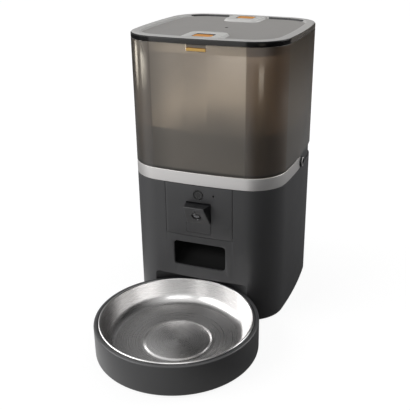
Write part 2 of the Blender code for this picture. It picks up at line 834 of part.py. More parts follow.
def make_panel():
    """Flush control panel: a slice of the bowed front wall with holes for pod, button and microphone."""
    low = PANEL_LOW + SEAM_GAP
    high = BASE_TOP - SEAM_GAP
    panel = flat_piece("control_panel", [body_outline(), body_outline(PANEL_THICKNESS)], low, high)
    keep = box(
        "panel_keep", (-PANEL_HALF_WIDTH, -FRONT - OVERRUN, low - OVERRUN),
        (PANEL_HALF_WIDTH, -POD_BACK_Y, high + OVERRUN)
    )
    kept_inside(panel, keep)
    half = POD_HALF_WIDTH + SEAM_GAP
    rounded = rounded_rectangle(-half, half, POD_LOW - SEAM_GAP, POD_HIGH, POD_CORNER)
    opening = [point for point in rounded if point[1] > POD_HIGH - 2 * POD_CORNER]
    opening += [(-half, POD_LOW - SEAM_GAP), (half, POD_LOW - SEAM_GAP)]
    pod = front_piece("pod_window", [opening], POD_BACK_Y, FRONT + OVERRUN)
    ring = front_piece(
        "ring_hole", [circle_points(RING_RADIUS + SEAM_GAP, BUTTON_STEPS, (0, BUTTON_Z))], POD_BACK_Y,
        FRONT + OVERRUN
    )
    mic = front_piece(
        "mic_hole", [circle_points(MIC_RADIUS, PEG_STEPS, (MIC_X, MIC_Z))], POD_BACK_Y, FRONT + OVERRUN
    )
    cut(panel, pod, ring, mic)
    finished(panel, CHARCOAL)


def make_feed_button():
    ring_inner = BUTTON_RADIUS + BUTTON_CLEARANCE
    ring = front_piece(
        "button_light_ring",
        [
            circle_points(RING_RADIUS, BUTTON_STEPS, (0, BUTTON_Z)),
            circle_points(ring_inner, BUTTON_STEPS, (0, BUTTON_Z)),
        ],
        FRONT - RING_DEPTH, FRONT
    )
    finished(ring, BLACK)
    button = front_piece(
        "feed_button", [circle_points(BUTTON_RADIUS, BUTTON_STEPS, (0, BUTTON_Z))],
        FRONT - BUTTON_LENGTH, FRONT - SEAM_GAP
    )
    flange_near = FRONT - RING_DEPTH - BUTTON_FLANGE - SEAM_GAP
    flange = front_piece(
        "button_flange", [circle_points(BUTTON_FLANGE_RADIUS, BUTTON_STEPS, (0, BUTTON_Z))],
        flange_near, flange_near + BUTTON_FLANGE
    )
    joined(button, flange)
    applied(button)
    finished(button, CHARCOAL, (0, -FRONT, BUTTON_Z))


def make_control_board():
    """Upright board behind the panel, with the feed switch, hung from two tabs below the deck."""
    far = FRONT - BOARD_SETBACK
    near = far - BOARD_THICKNESS
    outline = rounded_rectangle(-BOARD_HALF_WIDTH, BOARD_HALF_WIDTH, BOARD_LOW, BOARD_HIGH, SWITCH_RADIUS)
    board = front_piece("control_board", [outline], near, far)
    finished(board, BOARD)
    half = SWITCH_SIZE / 2
    plunger = FRONT - BUTTON_LENGTH - BUTTON_TRAVEL - SEAM_GAP
    middle = (plunger + far + SEAM_GAP) / 2
    switch = box(
        "feed_switch", (-half, -middle, BUTTON_Z - half), (half, -far - SEAM_GAP, BUTTON_Z + half)
    )
    key = front_piece(
        "switch_key", [circle_points(SWITCH_RADIUS, PEG_STEPS, (0, BUTTON_Z))], middle - SEAM_GAP, plunger
    )
    finished(joined(switch, key), BLACK)


def pod_face():
    """Start, direction and outward normal of the pod's sloping face, in the plane x = 0."""
    start = Vector((0, -FRONT, POD_KINK))
    slope = Vector((0, -POD_REACH, POD_TIP_Z - POD_KINK))
    along = slope.normalized()
    normal = Vector((0, -along.z, along.y))
    return start, slope, normal


def on_pod(share, height=0.0):
    start, slope, normal = pod_face()
    return start + slope * share + normal * height


def pod_rod(name, radius, share, low, high, steps=LENS_STEPS, top_radius=None):
    """A cylinder square to the pod's sloping face."""
    rod = cylinder(name, radius, low, high, steps=steps, top_radius=top_radius)
    normal = pod_face()[2]
    turn = Vector((0, 0, 1)).rotation_difference(normal).to_matrix().to_4x4()
    rod.data.transform(Matrix.Translation(on_pod(share)) @ turn)
    return rod


def narrowed(obj):
    """Draws the pod's sides in towards its tip, in step with how far they stand out."""
    for vert in obj.data.vertices:
        out = max(0.0, -vert.co.y - FRONT) / POD_REACH
        width = POD_HALF_WIDTH + (POD_TIP_HALF_WIDTH - POD_HALF_WIDTH) * min(out, 1.0)
        vert.co.x *= width / POD_HALF_WIDTH
    return obj


def make_camera_pod():
    """Charcoal face bent out from the panel over a black wedge that holds the lens."""
    start, slope, normal = pod_face()
    tip = start + slope
    inner_kink = start - normal * POD_COVER
    inner_tip = tip - normal * POD_COVER
    inner_low = -FRONT + POD_COVER
    cover = side_piece(
        "camera_cover",
        [
            (-FRONT, POD_LOW), (inner_low, POD_LOW), (inner_low, inner_kink.z),
            (inner_tip.y, inner_tip.z), (tip.y, tip.z), (-FRONT, POD_KINK),
        ],
        POD_HALF_WIDTH
    )
    narrowed(cover)
    back_kink = start - normal * (POD_COVER + SEAM_GAP)
    back_tip = tip - normal * (POD_COVER + SEAM_GAP)
    back_low = -FRONT + POD_COVER + SEAM_GAP
    top = POD_TIP_Z
    housing = side_piece(
        "camera_housing",
        [
            (back_low, POD_LOW), (-POD_BACK_Y, POD_LOW), (-POD_BACK_Y, top), (-FRONT, top),
            (back_tip.y, back_tip.z), (back_low, back_kink.z),
        ],
        POD_HALF_WIDTH
    )
    narrowed(housing)
    hole = pod_rod("lens_hole", LENS_RADIUS + SEAM_GAP, LENS_SHARE, -OVERRUN, OVERRUN)
    eye_hole = pod_rod("sensor_hole", SENSOR_RADIUS + SEAM_GAP, SENSOR_SHARE, -OVERRUN, OVERRUN, PEG_STEPS)
    cut(cover, hole, eye_hole)
    finished(cover, CHARCOAL)
    depth = LENS_BARREL + SEAM_GAP
    bore = pod_rod("lens_bore", LENS_RADIUS + SEAM_GAP, LENS_SHARE, -depth, OVERRUN)
    eye_bore = pod_rod(
        "sensor_bore", SENSOR_RADIUS + SEAM_GAP, SENSOR_SHARE, -SENSOR_DEPTH - SEAM_GAP, OVERRUN, PEG_STEPS
    )
    cut(housing, bore, eye_bore)
    finished(housing, BLACK)


def make_lens():
    ring = pod_rod("lens_ring", LENS_RADIUS, LENS_SHARE, -LENS_BARREL, LENS_PROUD)
    seat = LENS_BARREL / 2
    recess = pod_rod(
        "lens_recess", LENS_GLASS_RADIUS + SEAM_GAP, LENS_SHARE, -seat, OVERRUN, LENS_STEPS
    )
    finished(cut(ring, recess), GLOSS_BLACK)
    glass = pod_rod("camera_lens", LENS_GLASS_RADIUS, LENS_SHARE, -seat + SEAM_GAP, -LENS_RECESS)
    dome = pod_rod(
        "lens_dome", LENS_GLASS_RADIUS, LENS_SHARE, -LENS_RECESS - SEAM_GAP,
        -LENS_RECESS + LENS_DOME, LENS_STEPS, LENS_GLASS_RADIUS / 2
    )
    finished(joined(glass, dome), GLASS)
    window = pod_rod("light_sensor_window", SENSOR_RADIUS, SENSOR_SHARE, -SENSOR_DEPTH, 0, PEG_STEPS)
    finished(window, GLASS)


def make_chute():
    """Liner from the chamber's drop hole to the front opening, wider and lower on its way out."""
    top = CHAMBER_FLOOR - SEAM_GAP - LINER_WALL / 2
    mouth_y = -front_at(CHUTE_HALF_WIDTH, WALL + LINER_MARGIN)
    half_top = DROP_HALF_WIDTH + LINER_MARGIN
    inset = LINER_MARGIN
    bend = top - LINER_BEND_DROP

    def level(z, front, rear, half):
        loop = rounded_rectangle(-half, half, rear, front, LINER_CORNER)
        return [(x, -y, z) for x, y in loop]

    def upright(y, half, low, high):
        loop = rounded_rectangle(-half, half, low, high, LINER_CORNER)
        return [(x, y, z) for x, z in loop]

    rings = [
        level(top, DROP_FRONT_Y + inset, DROP_REAR_Y - inset, half_top),
        level(bend, DROP_FRONT_Y + inset + LINER_BEND_SETBACK, DROP_REAR_Y - inset, half_top),
        upright(mouth_y + LINER_MOUTH_RUN, CHUTE_HALF_WIDTH, CHUTE_LOW, CHUTE_HIGH),
        upright(mouth_y, CHUTE_HALF_WIDTH, CHUTE_LOW, CHUTE_HIGH),
    ]
    rings[2] = [(x, y, z + LINER_MARGIN) for x, y, z in rings[2]]
    liner = lofted_shell("chute_liner", rings, LINER_WALL, outward=True)
    finished(liner, BLACK)


def make_dosing_chamber():
    """Round trough under the deck, with the drop hole, the shaft boss and two posts for the drive."""
    outer = CHAMBER_RADIUS + CHAMBER_WALL
    top = DECK_LOW - SEAM_GAP
    floor_top = CHAMBER_FLOOR + CHAMBER_FLOOR_THICKNESS
    flange = outer + CHAMBER_FLANGE
    profile = [
        (0, floor_top), (CHAMBER_RADIUS, floor_top), (CHAMBER_RADIUS, top), (flange, top),
        (flange, top - CHAMBER_WALL), (outer, top - CHAMBER_WALL), (outer, CHAMBER_FLOOR),
        (0, CHAMBER_FLOOR),
    ]
    chamber = moved(turned("dosing_chamber", profile, CHAMBER_STEPS), (0, CHAMBER_Y, 0))
    post_low = CHAMBER_FLOOR - GEAR_DROP - GEAR_HEIGHT - GEARBOX_GAP + SEAM_GAP
    for side in (-1, 1):
        post = cylinder(
            f"post_{side}", POST_RADIUS, post_low, CHAMBER_FLOOR + SEAM_GAP,
            (side * POST_X, POST_Y), PEG_STEPS
        )
        joined(chamber, post)
    drop = rounded_rectangle(
        -DROP_HALF_WIDTH, DROP_HALF_WIDTH, -DROP_FRONT_Y, -DROP_REAR_Y, LINER_CORNER
    )
    cut(chamber, flat_piece(
        "drop_hole", [drop], CHAMBER_FLOOR - OVERRUN / 4, floor_top + OVERRUN / 4
    ))
    cut(chamber, cylinder(
        "shaft_hole", SHAFT_RADIUS + SEAM_GAP, CHAMBER_FLOOR - OVERRUN / 4, floor_top + OVERRUN / 4,
        (0, CHAMBER_Y), ROD_STEPS
    ))
    finished(chamber, BLACK)


def make_rotor():
    """Silicone paddle wheel that carries food round to the drop hole."""
    low = CHAMBER_FLOOR + CHAMBER_FLOOR_THICKNESS + ROTOR_CLEARANCE
    high = low + ROTOR_HEIGHT
    reach = CHAMBER_RADIUS - ROTOR_CLEARANCE
    centre = (0, CHAMBER_Y)
    rotor = cylinder("paddle_wheel", ROTOR_HUB_RADIUS, low, high, centre, DRUM_STEPS)
    dome = cylinder(
        "hub_dome", ROTOR_HUB_RADIUS, high - SEAM_GAP, high + ROTOR_DOME, centre, DRUM_STEPS,
        ROTOR_HUB_RADIUS / 2
    )
    joined(rotor, dome)
    half = ROTOR_PADDLE_THICKNESS / 2
    for index in range(ROTOR_PADDLES):
        paddle = box(f"paddle_{index}", (ROTOR_HUB_RADIUS / 2, -half, low), (reach, half, high))
        turn = Matrix.Rotation(2 * math.pi * (index + 0.5) / ROTOR_PADDLES, 4, "Z")
        paddle.data.transform(Matrix.Translation((*centre, 0)) @ turn)
        joined(rotor, paddle)
    socket = cylinder(
        "hub_socket", SHAFT_RADIUS + SEAM_GAP, low - OVERRUN, low + SHAFT_REST, centre, ROD_STEPS
    )
    cut(rotor, socket)
    finished(applied(rotor), SILICONE, (*centre, low))
    foot = CHAMBER_FLOOR - GEAR_DROP - GEAR_HEIGHT - SHAFT_FOOT / 2
    shaft = cylinder(
        "rotor_shaft", SHAFT_RADIUS, foot, low + SHAFT_REST - SEAM_GAP, centre, ROD_STEPS
    )
    finished(shaft, ZINC, (*centre, low))


def gear_outline(teeth, turn):
    """Involute teeth of the drive's module and pressure angle, thinned by half the backlash."""
    pitch = GEAR_MODULE * teeth / 2
    base = pitch * math.cos(PRESSURE_ANGLE)
    tip = pitch + ADDENDUM_SHARE * GEAR_MODULE
    root = pitch - DEDENDUM_SHARE * GEAR_MODULE
    involute = math.tan(PRESSURE_ANGLE) - PRESSURE_ANGLE
    half_pitch = math.pi / (2 * teeth) - GEAR_BACKLASH / (2 * pitch) + involute
    flank = []
    for share in FLANK_SHARES:
        radius = max(base, root) + (tip - max(base, root)) * share
        angle = math.acos(min(1.0, base / radius))
        flank.append((radius, half_pitch - (math.tan(angle) - angle)))
    if root < base:
        flank.insert(0, (root, half_pitch))
    points = []
    for tooth in range(teeth):
        middle = turn + 2 * math.pi * tooth / teeth
        for radius, half in flank:
            points.append((radius, middle - half))
        for radius, half in reversed(flank):
            points.append((radius, middle + half))
    return [(r * math.cos(a), r * math.sin(a)) for r, a in points]


def make_drive():
    """Gear on the rotor's shaft, the motor's pinion behind it, and the gear motor."""
    high = CHAMBER_FLOOR - GEAR_DROP
    low = high - GEAR_HEIGHT
    spacing = GEAR_MODULE * (GEAR_TEETH + PINION_TEETH) / 2 + GEAR_SPREAD
    pinion_y = CHAMBER_Y + spacing
    gear = flat_piece(
        "rotor_gear",
        [gear_outline(GEAR_TEETH, math.pi / 2), circle_points(SHAFT_RADIUS + SEAM_GAP, ROD_STEPS)],
        low, high
    )
    moved(gear, (0, CHAMBER_Y, 0))
    finished(gear, WHITE, (0, CHAMBER_Y, low))
    pinion = flat_piece(
        "drive_pinion",
        [
            gear_outline(PINION_TEETH, -math.pi / 2 + math.pi / PINION_TEETH),
            circle_points(PINION_SHAFT_RADIUS + SEAM_GAP, ROD_STEPS),
        ],
        low, high
    )
    moved(pinion, (0, pinion_y, 0))
    finished(pinion, WHITE, (0, pinion_y, low))
    box_high = low - GEARBOX_GAP
    shaft_low = box_high - PINION_SHAFT_SINK
    shaft = cylinder("motor_shaft", PINION_SHAFT_RADIUS, shaft_low, high, (0, pinion_y), ROD_STEPS)
    finished(shaft, ZINC, (0, pinion_y, low))
    box_low = box_high - GEARBOX_HEIGHT
    outline = rounded_rectangle(
        -GEARBOX_HALF_WIDTH, GEARBOX_HALF_WIDTH, GEARBOX_FRONT_Y, GEARBOX_REAR_Y, GEARBOX_ROUND
    )
    gearbox = flat_piece("gear_motor", [outline], box_low, box_high)
    can = cylinder(
        "motor_can", MOTOR_RADIUS, box_low - MOTOR_LENGTH, box_low + SEAM_GAP, (0, pinion_y), DRUM_STEPS
    )
    end = cylinder(
        "motor_end", MOTOR_END_RADIUS, box_low - MOTOR_LENGTH - MOTOR_END,
        box_low - MOTOR_LENGTH + SEAM_GAP, (0, pinion_y), ROD_STEPS
    )
    joined(gearbox, can, end)
    socket = cylinder(
        "motor_bore", PINION_SHAFT_RADIUS + SEAM_GAP, shaft_low - SEAM_GAP, box_high + OVERRUN,
        (0, pinion_y), ROD_STEPS
    )
    bearing = cylinder(
        "shaft_bearing", SHAFT_RADIUS + SEAM_GAP, box_high - SHAFT_FOOT, box_high + OVERRUN,
        (0, CHAMBER_Y), ROD_STEPS
    )
    cut(gearbox, socket, bearing)
    finished(gearbox, ZINC)


def make_tank():
    """Smoked tank: wall, shoulder that rests on the collar, and a spigot that drops inside it."""
    spigot_outer = COLLAR_INSET + COLLAR_WALL + SPIGOT_GAP
    spigot_inner = spigot_outer + SPIGOT_WALL
    tank = flat_piece("tank", [body_outline(), body_outline(TANK_WALL)], TANK_LOW, TANK_HIGH)
    shoulder = flat_piece(
        "shoulder", [body_outline(), body_outline(spigot_inner)], TANK_LOW, TANK_LOW + SHOULDER
    )
    spigot = flat_piece(
        "spigot", [body_outline(spigot_outer), body_outline(spigot_inner)],
        TANK_LOW - SPIGOT_DROP, TANK_LOW + SHOULDER / 2
    )
    joined(tank, shoulder, spigot)
    notch_half = RELEASE_FLANGE_RADIUS + NOTCH_MARGIN
    half = BODY_WIDTH / 2
    for side in (-1, 1):
        middle = side * (half - spigot_outer)
        notch = box(
            f"release_notch_{side}",
            (middle - OVERRUN / 2, RELEASE_Y - notch_half, TANK_LOW - SPIGOT_DROP - OVERRUN),
            (middle + OVERRUN / 2, RELEASE_Y + notch_half, TANK_LOW - SEAM_GAP),
        )
        cut(tank, notch)
        reach = side * (FRONT - TANK_WALL / 2)
        slot = box(
            f"tongue_slot_{side}",
            (-TONGUE_HALF_WIDTH - TONGUE_CLEARANCE, reach - OVERRUN / 2, TONGUE_LOW - TONGUE_CLEARANCE),
            (TONGUE_HALF_WIDTH + TONGUE_CLEARANCE, reach + OVERRUN / 2, TANK_HIGH + OVERRUN),
        )
        cut(tank, slot)
    finished(tank, SMOKE, (0, 0, TANK_LOW))


def make_funnel():
    """Dark funnel seated in the foot of the tank, from the wall down to a round neck."""
    lip = body_outline(TANK_WALL + SEAM_GAP)
    steps = len(lip)
    neck = []
    for x, y in lip:
        angle = math.atan2(y, x)
        neck.append((FUNNEL_NECK_RADIUS * math.cos(angle), FUNNEL_NECK_RADIUS * math.sin(angle)))
    shift = CHAMBER_Y
    rings = [
        [(x, y, FUNNEL_TOP) for x, y in lip],
        [(x, y, FUNNEL_TOP - FUNNEL_LIP) for x, y in lip],
        [(x, y + shift, FUNNEL_NECK_TOP) for x, y in neck],
        [(x, y + shift, FUNNEL_NECK_LOW) for x, y in neck],
    ]
    funnel = lofted_shell("tank_funnel", rings, FUNNEL_WALL)
    finished(funnel, BLACK, (0, 0, TANK_LOW))


def pad_outline(side, half, inner, outer, corner):
    """A pad's outline: square at the rim, rounded where it reaches inwards."""
    low, high = sorted((side * inner, side * outer))
    return rounded_rectangle(-half, half, low, high, corner)


def slider_slot(side):
    """The slot's extent along y: the slider's length plus its travel inwards."""
    outer = SLIDER_Y + SLIDER_LENGTH / 2 + SLOT_CLEARANCE
    inner = SLIDER_Y - SLIDER_LENGTH / 2 - SLIDER_TRAVEL - SLOT_CLEARANCE
    return sorted((side * inner, side * outer))


def make_lid_cover():
    """Grey top: a flat rim, a dropped deck, and a pad with a slot at the front and at the back."""
    rim_low = LID_TOP - COVER_EDGE
    deck_top = LID_TOP - DECK_DROP
    deck_low = deck_top - LID_DECK_THICKNESS
    cover = flat_piece("lid_cover", [body_outline(COVER_INSET)], rim_low, LID_TOP)
    round_edges(cover, LID_TOP, COVER_ROUND)
    plug = flat_piece("cover_plug", [body_outline(FRAME_WIDTH + SEAM_GAP)], deck_low, LID_TOP - COVER_ROUND)
    joined(cover, plug)
    recess = flat_piece("deck_recess", [body_outline(RIM_WIDTH)], deck_top, LID_TOP + OVERRUN)
    slots = []
    for side in (-1, 1):
        pad = flat_piece(
            f"pad_{side}",
            [pad_outline(side, PAD_HALF_WIDTH, PAD_INNER_Y, FRONT, PAD_CORNER)],
            deck_top - OVERRUN, LID_TOP + 2 * OVERRUN
        )
        cut(recess, pad)
        low, high = slider_slot(side)
        half = SLIDER_HALF_WIDTH + SLOT_CLEARANCE
        slots.append(flat_piece(
            f"slider_slot_{side}", [rounded_rectangle(-half, half, low, high, SLIDER_CORNER)],
            deck_low - OVERRUN, LID_TOP + OVERRUN
        ))
    dot = cylinder("deck_dot", LID_DOT_RADIUS, deck_top - LID_DOT_DEPTH, deck_top + OVERRUN, steps=12)
    cut(cover, recess)
    guide_low = TONGUE_LOW - SEAM_GAP
    for side in (-1, 1):
        outer = front_at(TONGUE_HALF_WIDTH) - PLUG_INSET - PLUG_WALL - LOOSE_GAP
        near, far = sorted((side * (outer - GUIDE_LENGTH), side * outer))
        for hand in (-1, 1):
            inner_x = hand * (TONGUE_HALF_WIDTH + TONGUE_CLEARANCE)
            outer_x = inner_x + hand * GUIDE_WALL
            left, right = sorted((inner_x, outer_x))
            joined(cover, box(
                f"guide_{side}_{hand}", (left, near, guide_low), (right, far, deck_low + SEAM_GAP)
            ))
    cut(cover, *slots, dot)
    finished(cover, LID_GREY, (0, 0, LID_TOP))


def make_lid_frame():
    """Black ring on the tank's rim, its plug wall, and the pale sleeve seal stretched round the plug."""
    frame_high = LID_TOP - COVER_EDGE - SEAM_GAP
    plug_inner = PLUG_INSET + PLUG_WALL
    frame = flat_piece(
        "lid_frame", [body_outline(), body_outline(plug_inner)], LID_SEAM, frame_high
    )
    plug_low = LID_SEAM - PLUG_DROP
    plug = flat_piece(
        "plug_wall", [body_outline(PLUG_INSET), body_outline(plug_inner)], plug_low,
        LID_SEAM + SEAM_GAP
    )
    joined(frame, plug)
    seal_high = LID_SEAM - SEAM_GAP
    seal = flat_piece(
        "lid_seal", [body_outline(SEAL_INSET), body_outline(PLUG_INSET - SEAM_GAP)], plug_low, seal_high
    )
    half = TONGUE_HALF_WIDTH + TONGUE_CLEARANCE
    for side in (-1, 1):
        middle = side * (FRONT - PLUG_INSET)
        for piece, high in ((frame, seal_high), (seal, LID_SEAM)):
            cut(piece, box(
                f"{piece.name}_pass_{side}",
                (-half, middle - OVERRUN, TONGUE_LOW - TONGUE_CLEARANCE),
                (half, middle + OVERRUN, high)
            ))
    finished(frame, GLOSS_BLACK, (0, 0, LID_TOP))
    finished(seal, SILICONE, (0, 0, LID_TOP))


def make_latch(name, side):
    """Orange slider: a grip in the pad's slot, a neck, and a tongue out through the tank's wall."""
    top = LID_TOP - SLIDER_SINK
    near, far = sorted((side * (SLIDER_Y - SLIDER_LENGTH / 2), side * (SLIDER_Y + SLIDER_LENGTH / 2)))
    grip_low = LID_TOP - DECK_DROP
    grip = flat_piece(
        name, [rounded_rectangle(-SLIDER_HALF_WIDTH, SLIDER_HALF_WIDTH, near, far, SLIDER_CORNER)],
        grip_low, top
    )
    round_edges(grip, top, TONGUE_ROUND, 1)
    neck_half = SLIDER_NECK_LENGTH / 2
    neck_near, neck_far = sorted((side * (SLIDER_Y - neck_half), side * (SLIDER_Y + neck_half)))
    neck = box(
        name + "_neck", (-SLIDER_NECK_HALF_WIDTH, neck_near, TONGUE_HIGH - SEAM_GAP),
        (SLIDER_NECK_HALF_WIDTH, neck_far, grip_low + SEAM_GAP)
    )
    inner = SLIDER_Y - SLIDER_LENGTH / 2
    outer = front_at(TONGUE_HALF_WIDTH) - TONGUE_SINK
    tongue_near, tongue_far = sorted((side * inner, side * outer))
    tongue = box(
        name + "_tongue", (-TONGUE_HALF_WIDTH, tongue_near, TONGUE_LOW),
        (TONGUE_HALF_WIDTH, tongue_far, TONGUE_HIGH)
    )
    joined(grip, neck, tongue)
    applied(grip)
    finished(grip, ORANGE, (0, side * SLIDER_Y, LID_TOP))


def make_latch_retainer(name, side):
    """Plate under the lid that closes the slider's guide."""
    outer = front_at(TONGUE_HALF_WIDTH) - PLUG_INSET - PLUG_WALL - LOOSE_GAP
    near, far = sorted((side * (outer - GUIDE_LENGTH), side * outer))
    high = TONGUE_LOW - 2 * SEAM_GAP
    half = TONGUE_HALF_WIDTH + TONGUE_CLEARANCE + 2 * GUIDE_WALL
    plate = box(name, (-half, near, high - RETAINER_THICKNESS), (half, far, high))
    finished(plate, BLACK, (0, 0, LID_TOP))


def make_desiccant_holder():
    """Round cup under the lid's deck for a drying packet, closed by a slotted cap."""
    top = LID_TOP - DECK_DROP - LID_DECK_THICKNESS - SEAM_GAP
    low = top - DRY_HEIGHT
    outer = DRY_RADIUS + DRY_WALL
    cup = turned(
        "desiccant_holder",
        [
            (0, top), (outer, top), (outer, low), (DRY_RADIUS, low), (DRY_RADIUS, top - DRY_WALL),
            (0, top - DRY_WALL),
        ],
        DRY_STEPS
    )
    finished(cup, WHITE, (0, 0, LID_TOP))
    cap = cylinder("desiccant_cap", outer, low - SEAM_GAP - DRY_CAP, low - SEAM_GAP, steps=DRY_STEPS)
    spigot = cylinder(
        "cap_spigot", DRY_RADIUS - SEAM_GAP, low - 2 * SEAM_GAP, low + DRY_CAP, steps=DRY_STEPS
    )
    joined(cap, spigot)
    half = DRY_SLOT_WIDTH / 2
    for index in range(DRY_SLOTS):
        slot = box(
            f"dry_slot_{index}", (DRY_SLOT_IN, -half, low - OVERRUN), (DRY_SLOT_OUT, half, low + OVERRUN)
        )
        slot.data.transform(Matrix.Rotation(2 * math.pi * index / DRY_SLOTS, 4, "Z"))
        cut(cap, slot)
    finished(cap, WHITE, (0, 0, LID_TOP))


def bowl_curve(grown):
    """Inner line of the bowl from its lip to its middle, moved outwards by grown."""
    lip_inner = BOWL_LIP_RADIUS - BOWL_LIP_WIDTH
    lip_z = BOWL_LIP_HEIGHT - BOWL_LIP_DROP
    lean = math.atan2(lip_inner - BOWL_FOOT_RADIUS, lip_z - BOWL_FLOOR)
    tangent = BOWL_FILLET / math.tan((math.pi / 2 + lean) / 2)
    centre_r = BOWL_FOOT_RADIUS - tangent
    centre_z = BOWL_FLOOR + BOWL_FILLET
    radius = BOWL_FILLET + grown
    points = [(lip_inner + grown / math.cos(lean), lip_z)]
    for step in range(BOWL_FILLET_STEPS + 1):
        angle = -lean - (math.pi / 2 - lean) * step / BOWL_FILLET_STEPS
        points.append((centre_r + radius * math.cos(angle), centre_z + radius * math.sin(angle)))
    return points


def make_bowl():
    """Spun steel bowl with a rolled lip and a raised disc in its floor."""
    inner = bowl_curve(0)
    outer = bowl_curve(BOWL_GAUGE)
    rise = BOWL_FLOOR + BOWL_DISC_RISE
    disc_inner = [(BOWL_DISC_RADIUS + BOWL_DISC_SLOPE, BOWL_FLOOR), (BOWL_DISC_RADIUS, rise)]
    upper = [(0, rise)] + list(reversed(inner + disc_inner))
    lip_low = BOWL_LIP_HEIGHT - BOWL_LIP_DROP
    lip = [
        (BOWL_LIP_RADIUS - BOWL_LIP_WIDTH + BOWL_GAUGE / 2, BOWL_LIP_HEIGHT),
        (BOWL_LIP_RADIUS - BOWL_GAUGE / 2, BOWL_LIP_HEIGHT),
        (BOWL_LIP_RADIUS, BOWL_LIP_HEIGHT - BOWL_GAUGE),
        (BOWL_LIP_RADIUS, lip_low - BOWL_GAUGE / 2),
    ]
    below = outer[1:] + [(x, z - BOWL_GAUGE) for x, z in disc_inner] + [(0, rise - BOWL_GAUGE)]
    neck = (outer[0][0], lip_low - BOWL_GAUGE / 2)
    bowl = turned("steel_bowl", upper + lip + [neck] + below, BOWL_STEPS)
    moved(bowl, HOLDER_CENTRE)
    finished(bowl, STEEL, (0, -HOLDER_OFFSET, 0))


def make_holder():
    """Round holder: outer wall, flat rim, and an inner wall that follows the bowl down to a floor."""
    seat = bowl_curve(BOWL_GAUGE + LOOSE_GAP)
    under = bowl_curve(BOWL_GAUGE + LOOSE_GAP + HOLDER_FLOOR)
    well = BOWL_LIP_RADIUS + LOOSE_GAP
    ledge = BOWL_LIP_HEIGHT - BOWL_LIP_DROP - BOWL_GAUGE - 2 * SEAM_GAP
    inner_wall = HOLDER_RADIUS - HOLDER_WALL
    foot = HOLDER_FOOT_CLEARANCE
    rim_under = ledge - HOLDER_FLOOR
    top, bend = under[:2]
    under_rim = bend[0] + (top[0] - bend[0]) * (rim_under - bend[1]) / (top[1] - bend[1])
    profile = [(0, seat[-1][1])] + list(reversed(seat[1:]))
    profile += [
        (seat[0][0], ledge), (well, ledge), (well, HOLDER_HEIGHT - HOLDER_RIM_ROUND / 2),
        (well + HOLDER_RIM_ROUND / 2, HOLDER_HEIGHT),
        (HOLDER_RADIUS - HOLDER_RIM_ROUND, HOLDER_HEIGHT),
        (HOLDER_RADIUS - HOLDER_RIM_ROUND / 3, HOLDER_HEIGHT - HOLDER_RIM_ROUND / 3),
        (HOLDER_RADIUS, HOLDER_HEIGHT - HOLDER_RIM_ROUND),
        (HOLDER_RADIUS, foot + HOLDER_FOOT_CHAMFER), (HOLDER_RADIUS - HOLDER_FOOT_CHAMFER / 2, foot),
        (inner_wall, foot), (inner_wall, rim_under), (under_rim, rim_under),
    ]
    profile += under[1:] + [(0, under[-1][1])]
    holder = turned("bowl_holder", profile, BOWL_STEPS)
    moved(holder, HOLDER_CENTRE)
    finished(holder, CHARCOAL, (0, -HOLDER_OFFSET, 0))
    top = under[-1][1] - SEAM_GAP
    for index in range(4):
        angle = math.pi * (index + 0.5) / 2
        x = HOLDER_PAD_CIRCLE * math.cos(angle)
        y = HOLDER_PAD_CIRCLE * math.sin(angle) - HOLDER_OFFSET
        pad = cylinder(f"holder_foot_{index + 1}", HOLDER_PAD_RADIUS, 0, top, (x, y), FOOT_STEPS)
        finished(pad, RUBBER, (0, -HOLDER_OFFSET, 0))


make_base_shell()
make_bottom_cover()
make_speaker()
make_power_inlet()
make_deck()
make_band()
make_release_button("release_button_left", -1)
make_release_button("release_button_right", 1)
make_panel()
make_feed_button()
make_control_board()
make_camera_pod()
make_lens()
make_chute()
make_dosing_chamber()
make_rotor()
make_drive()
make_tank()
make_funnel()
make_lid_cover()
make_lid_frame()
make_latch("latch_slider_front", -1)
make_latch("latch_slider_rear", 1)
make_latch_retainer("latch_retainer_front", -1)
make_latch_retainer("latch_retainer_rear", 1)
make_desiccant_holder()
make_holder()
make_bowl()
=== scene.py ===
import bpy
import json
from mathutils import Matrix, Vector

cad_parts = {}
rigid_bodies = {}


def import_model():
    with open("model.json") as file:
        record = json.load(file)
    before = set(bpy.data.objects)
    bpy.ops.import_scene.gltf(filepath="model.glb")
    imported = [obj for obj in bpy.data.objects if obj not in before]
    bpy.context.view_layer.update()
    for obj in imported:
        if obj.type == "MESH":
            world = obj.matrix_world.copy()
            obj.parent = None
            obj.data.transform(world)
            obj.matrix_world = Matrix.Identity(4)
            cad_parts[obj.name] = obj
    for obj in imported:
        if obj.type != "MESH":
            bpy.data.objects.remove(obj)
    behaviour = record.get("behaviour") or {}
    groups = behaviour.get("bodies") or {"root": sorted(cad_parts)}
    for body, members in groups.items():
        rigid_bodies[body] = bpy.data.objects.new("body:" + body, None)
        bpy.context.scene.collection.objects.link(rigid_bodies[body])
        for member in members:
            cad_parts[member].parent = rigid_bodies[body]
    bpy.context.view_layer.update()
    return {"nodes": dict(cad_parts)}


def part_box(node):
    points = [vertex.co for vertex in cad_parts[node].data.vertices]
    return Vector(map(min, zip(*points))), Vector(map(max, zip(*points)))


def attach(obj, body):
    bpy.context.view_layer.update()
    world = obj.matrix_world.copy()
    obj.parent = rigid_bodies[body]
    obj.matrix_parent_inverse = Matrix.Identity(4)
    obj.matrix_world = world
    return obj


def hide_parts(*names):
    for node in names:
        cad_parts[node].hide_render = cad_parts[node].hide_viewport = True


for leftover in list(bpy.data.objects):
    bpy.data.objects.remove(leftover)

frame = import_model()

import json
import math
import bmesh
from mathutils import Matrix, Vector

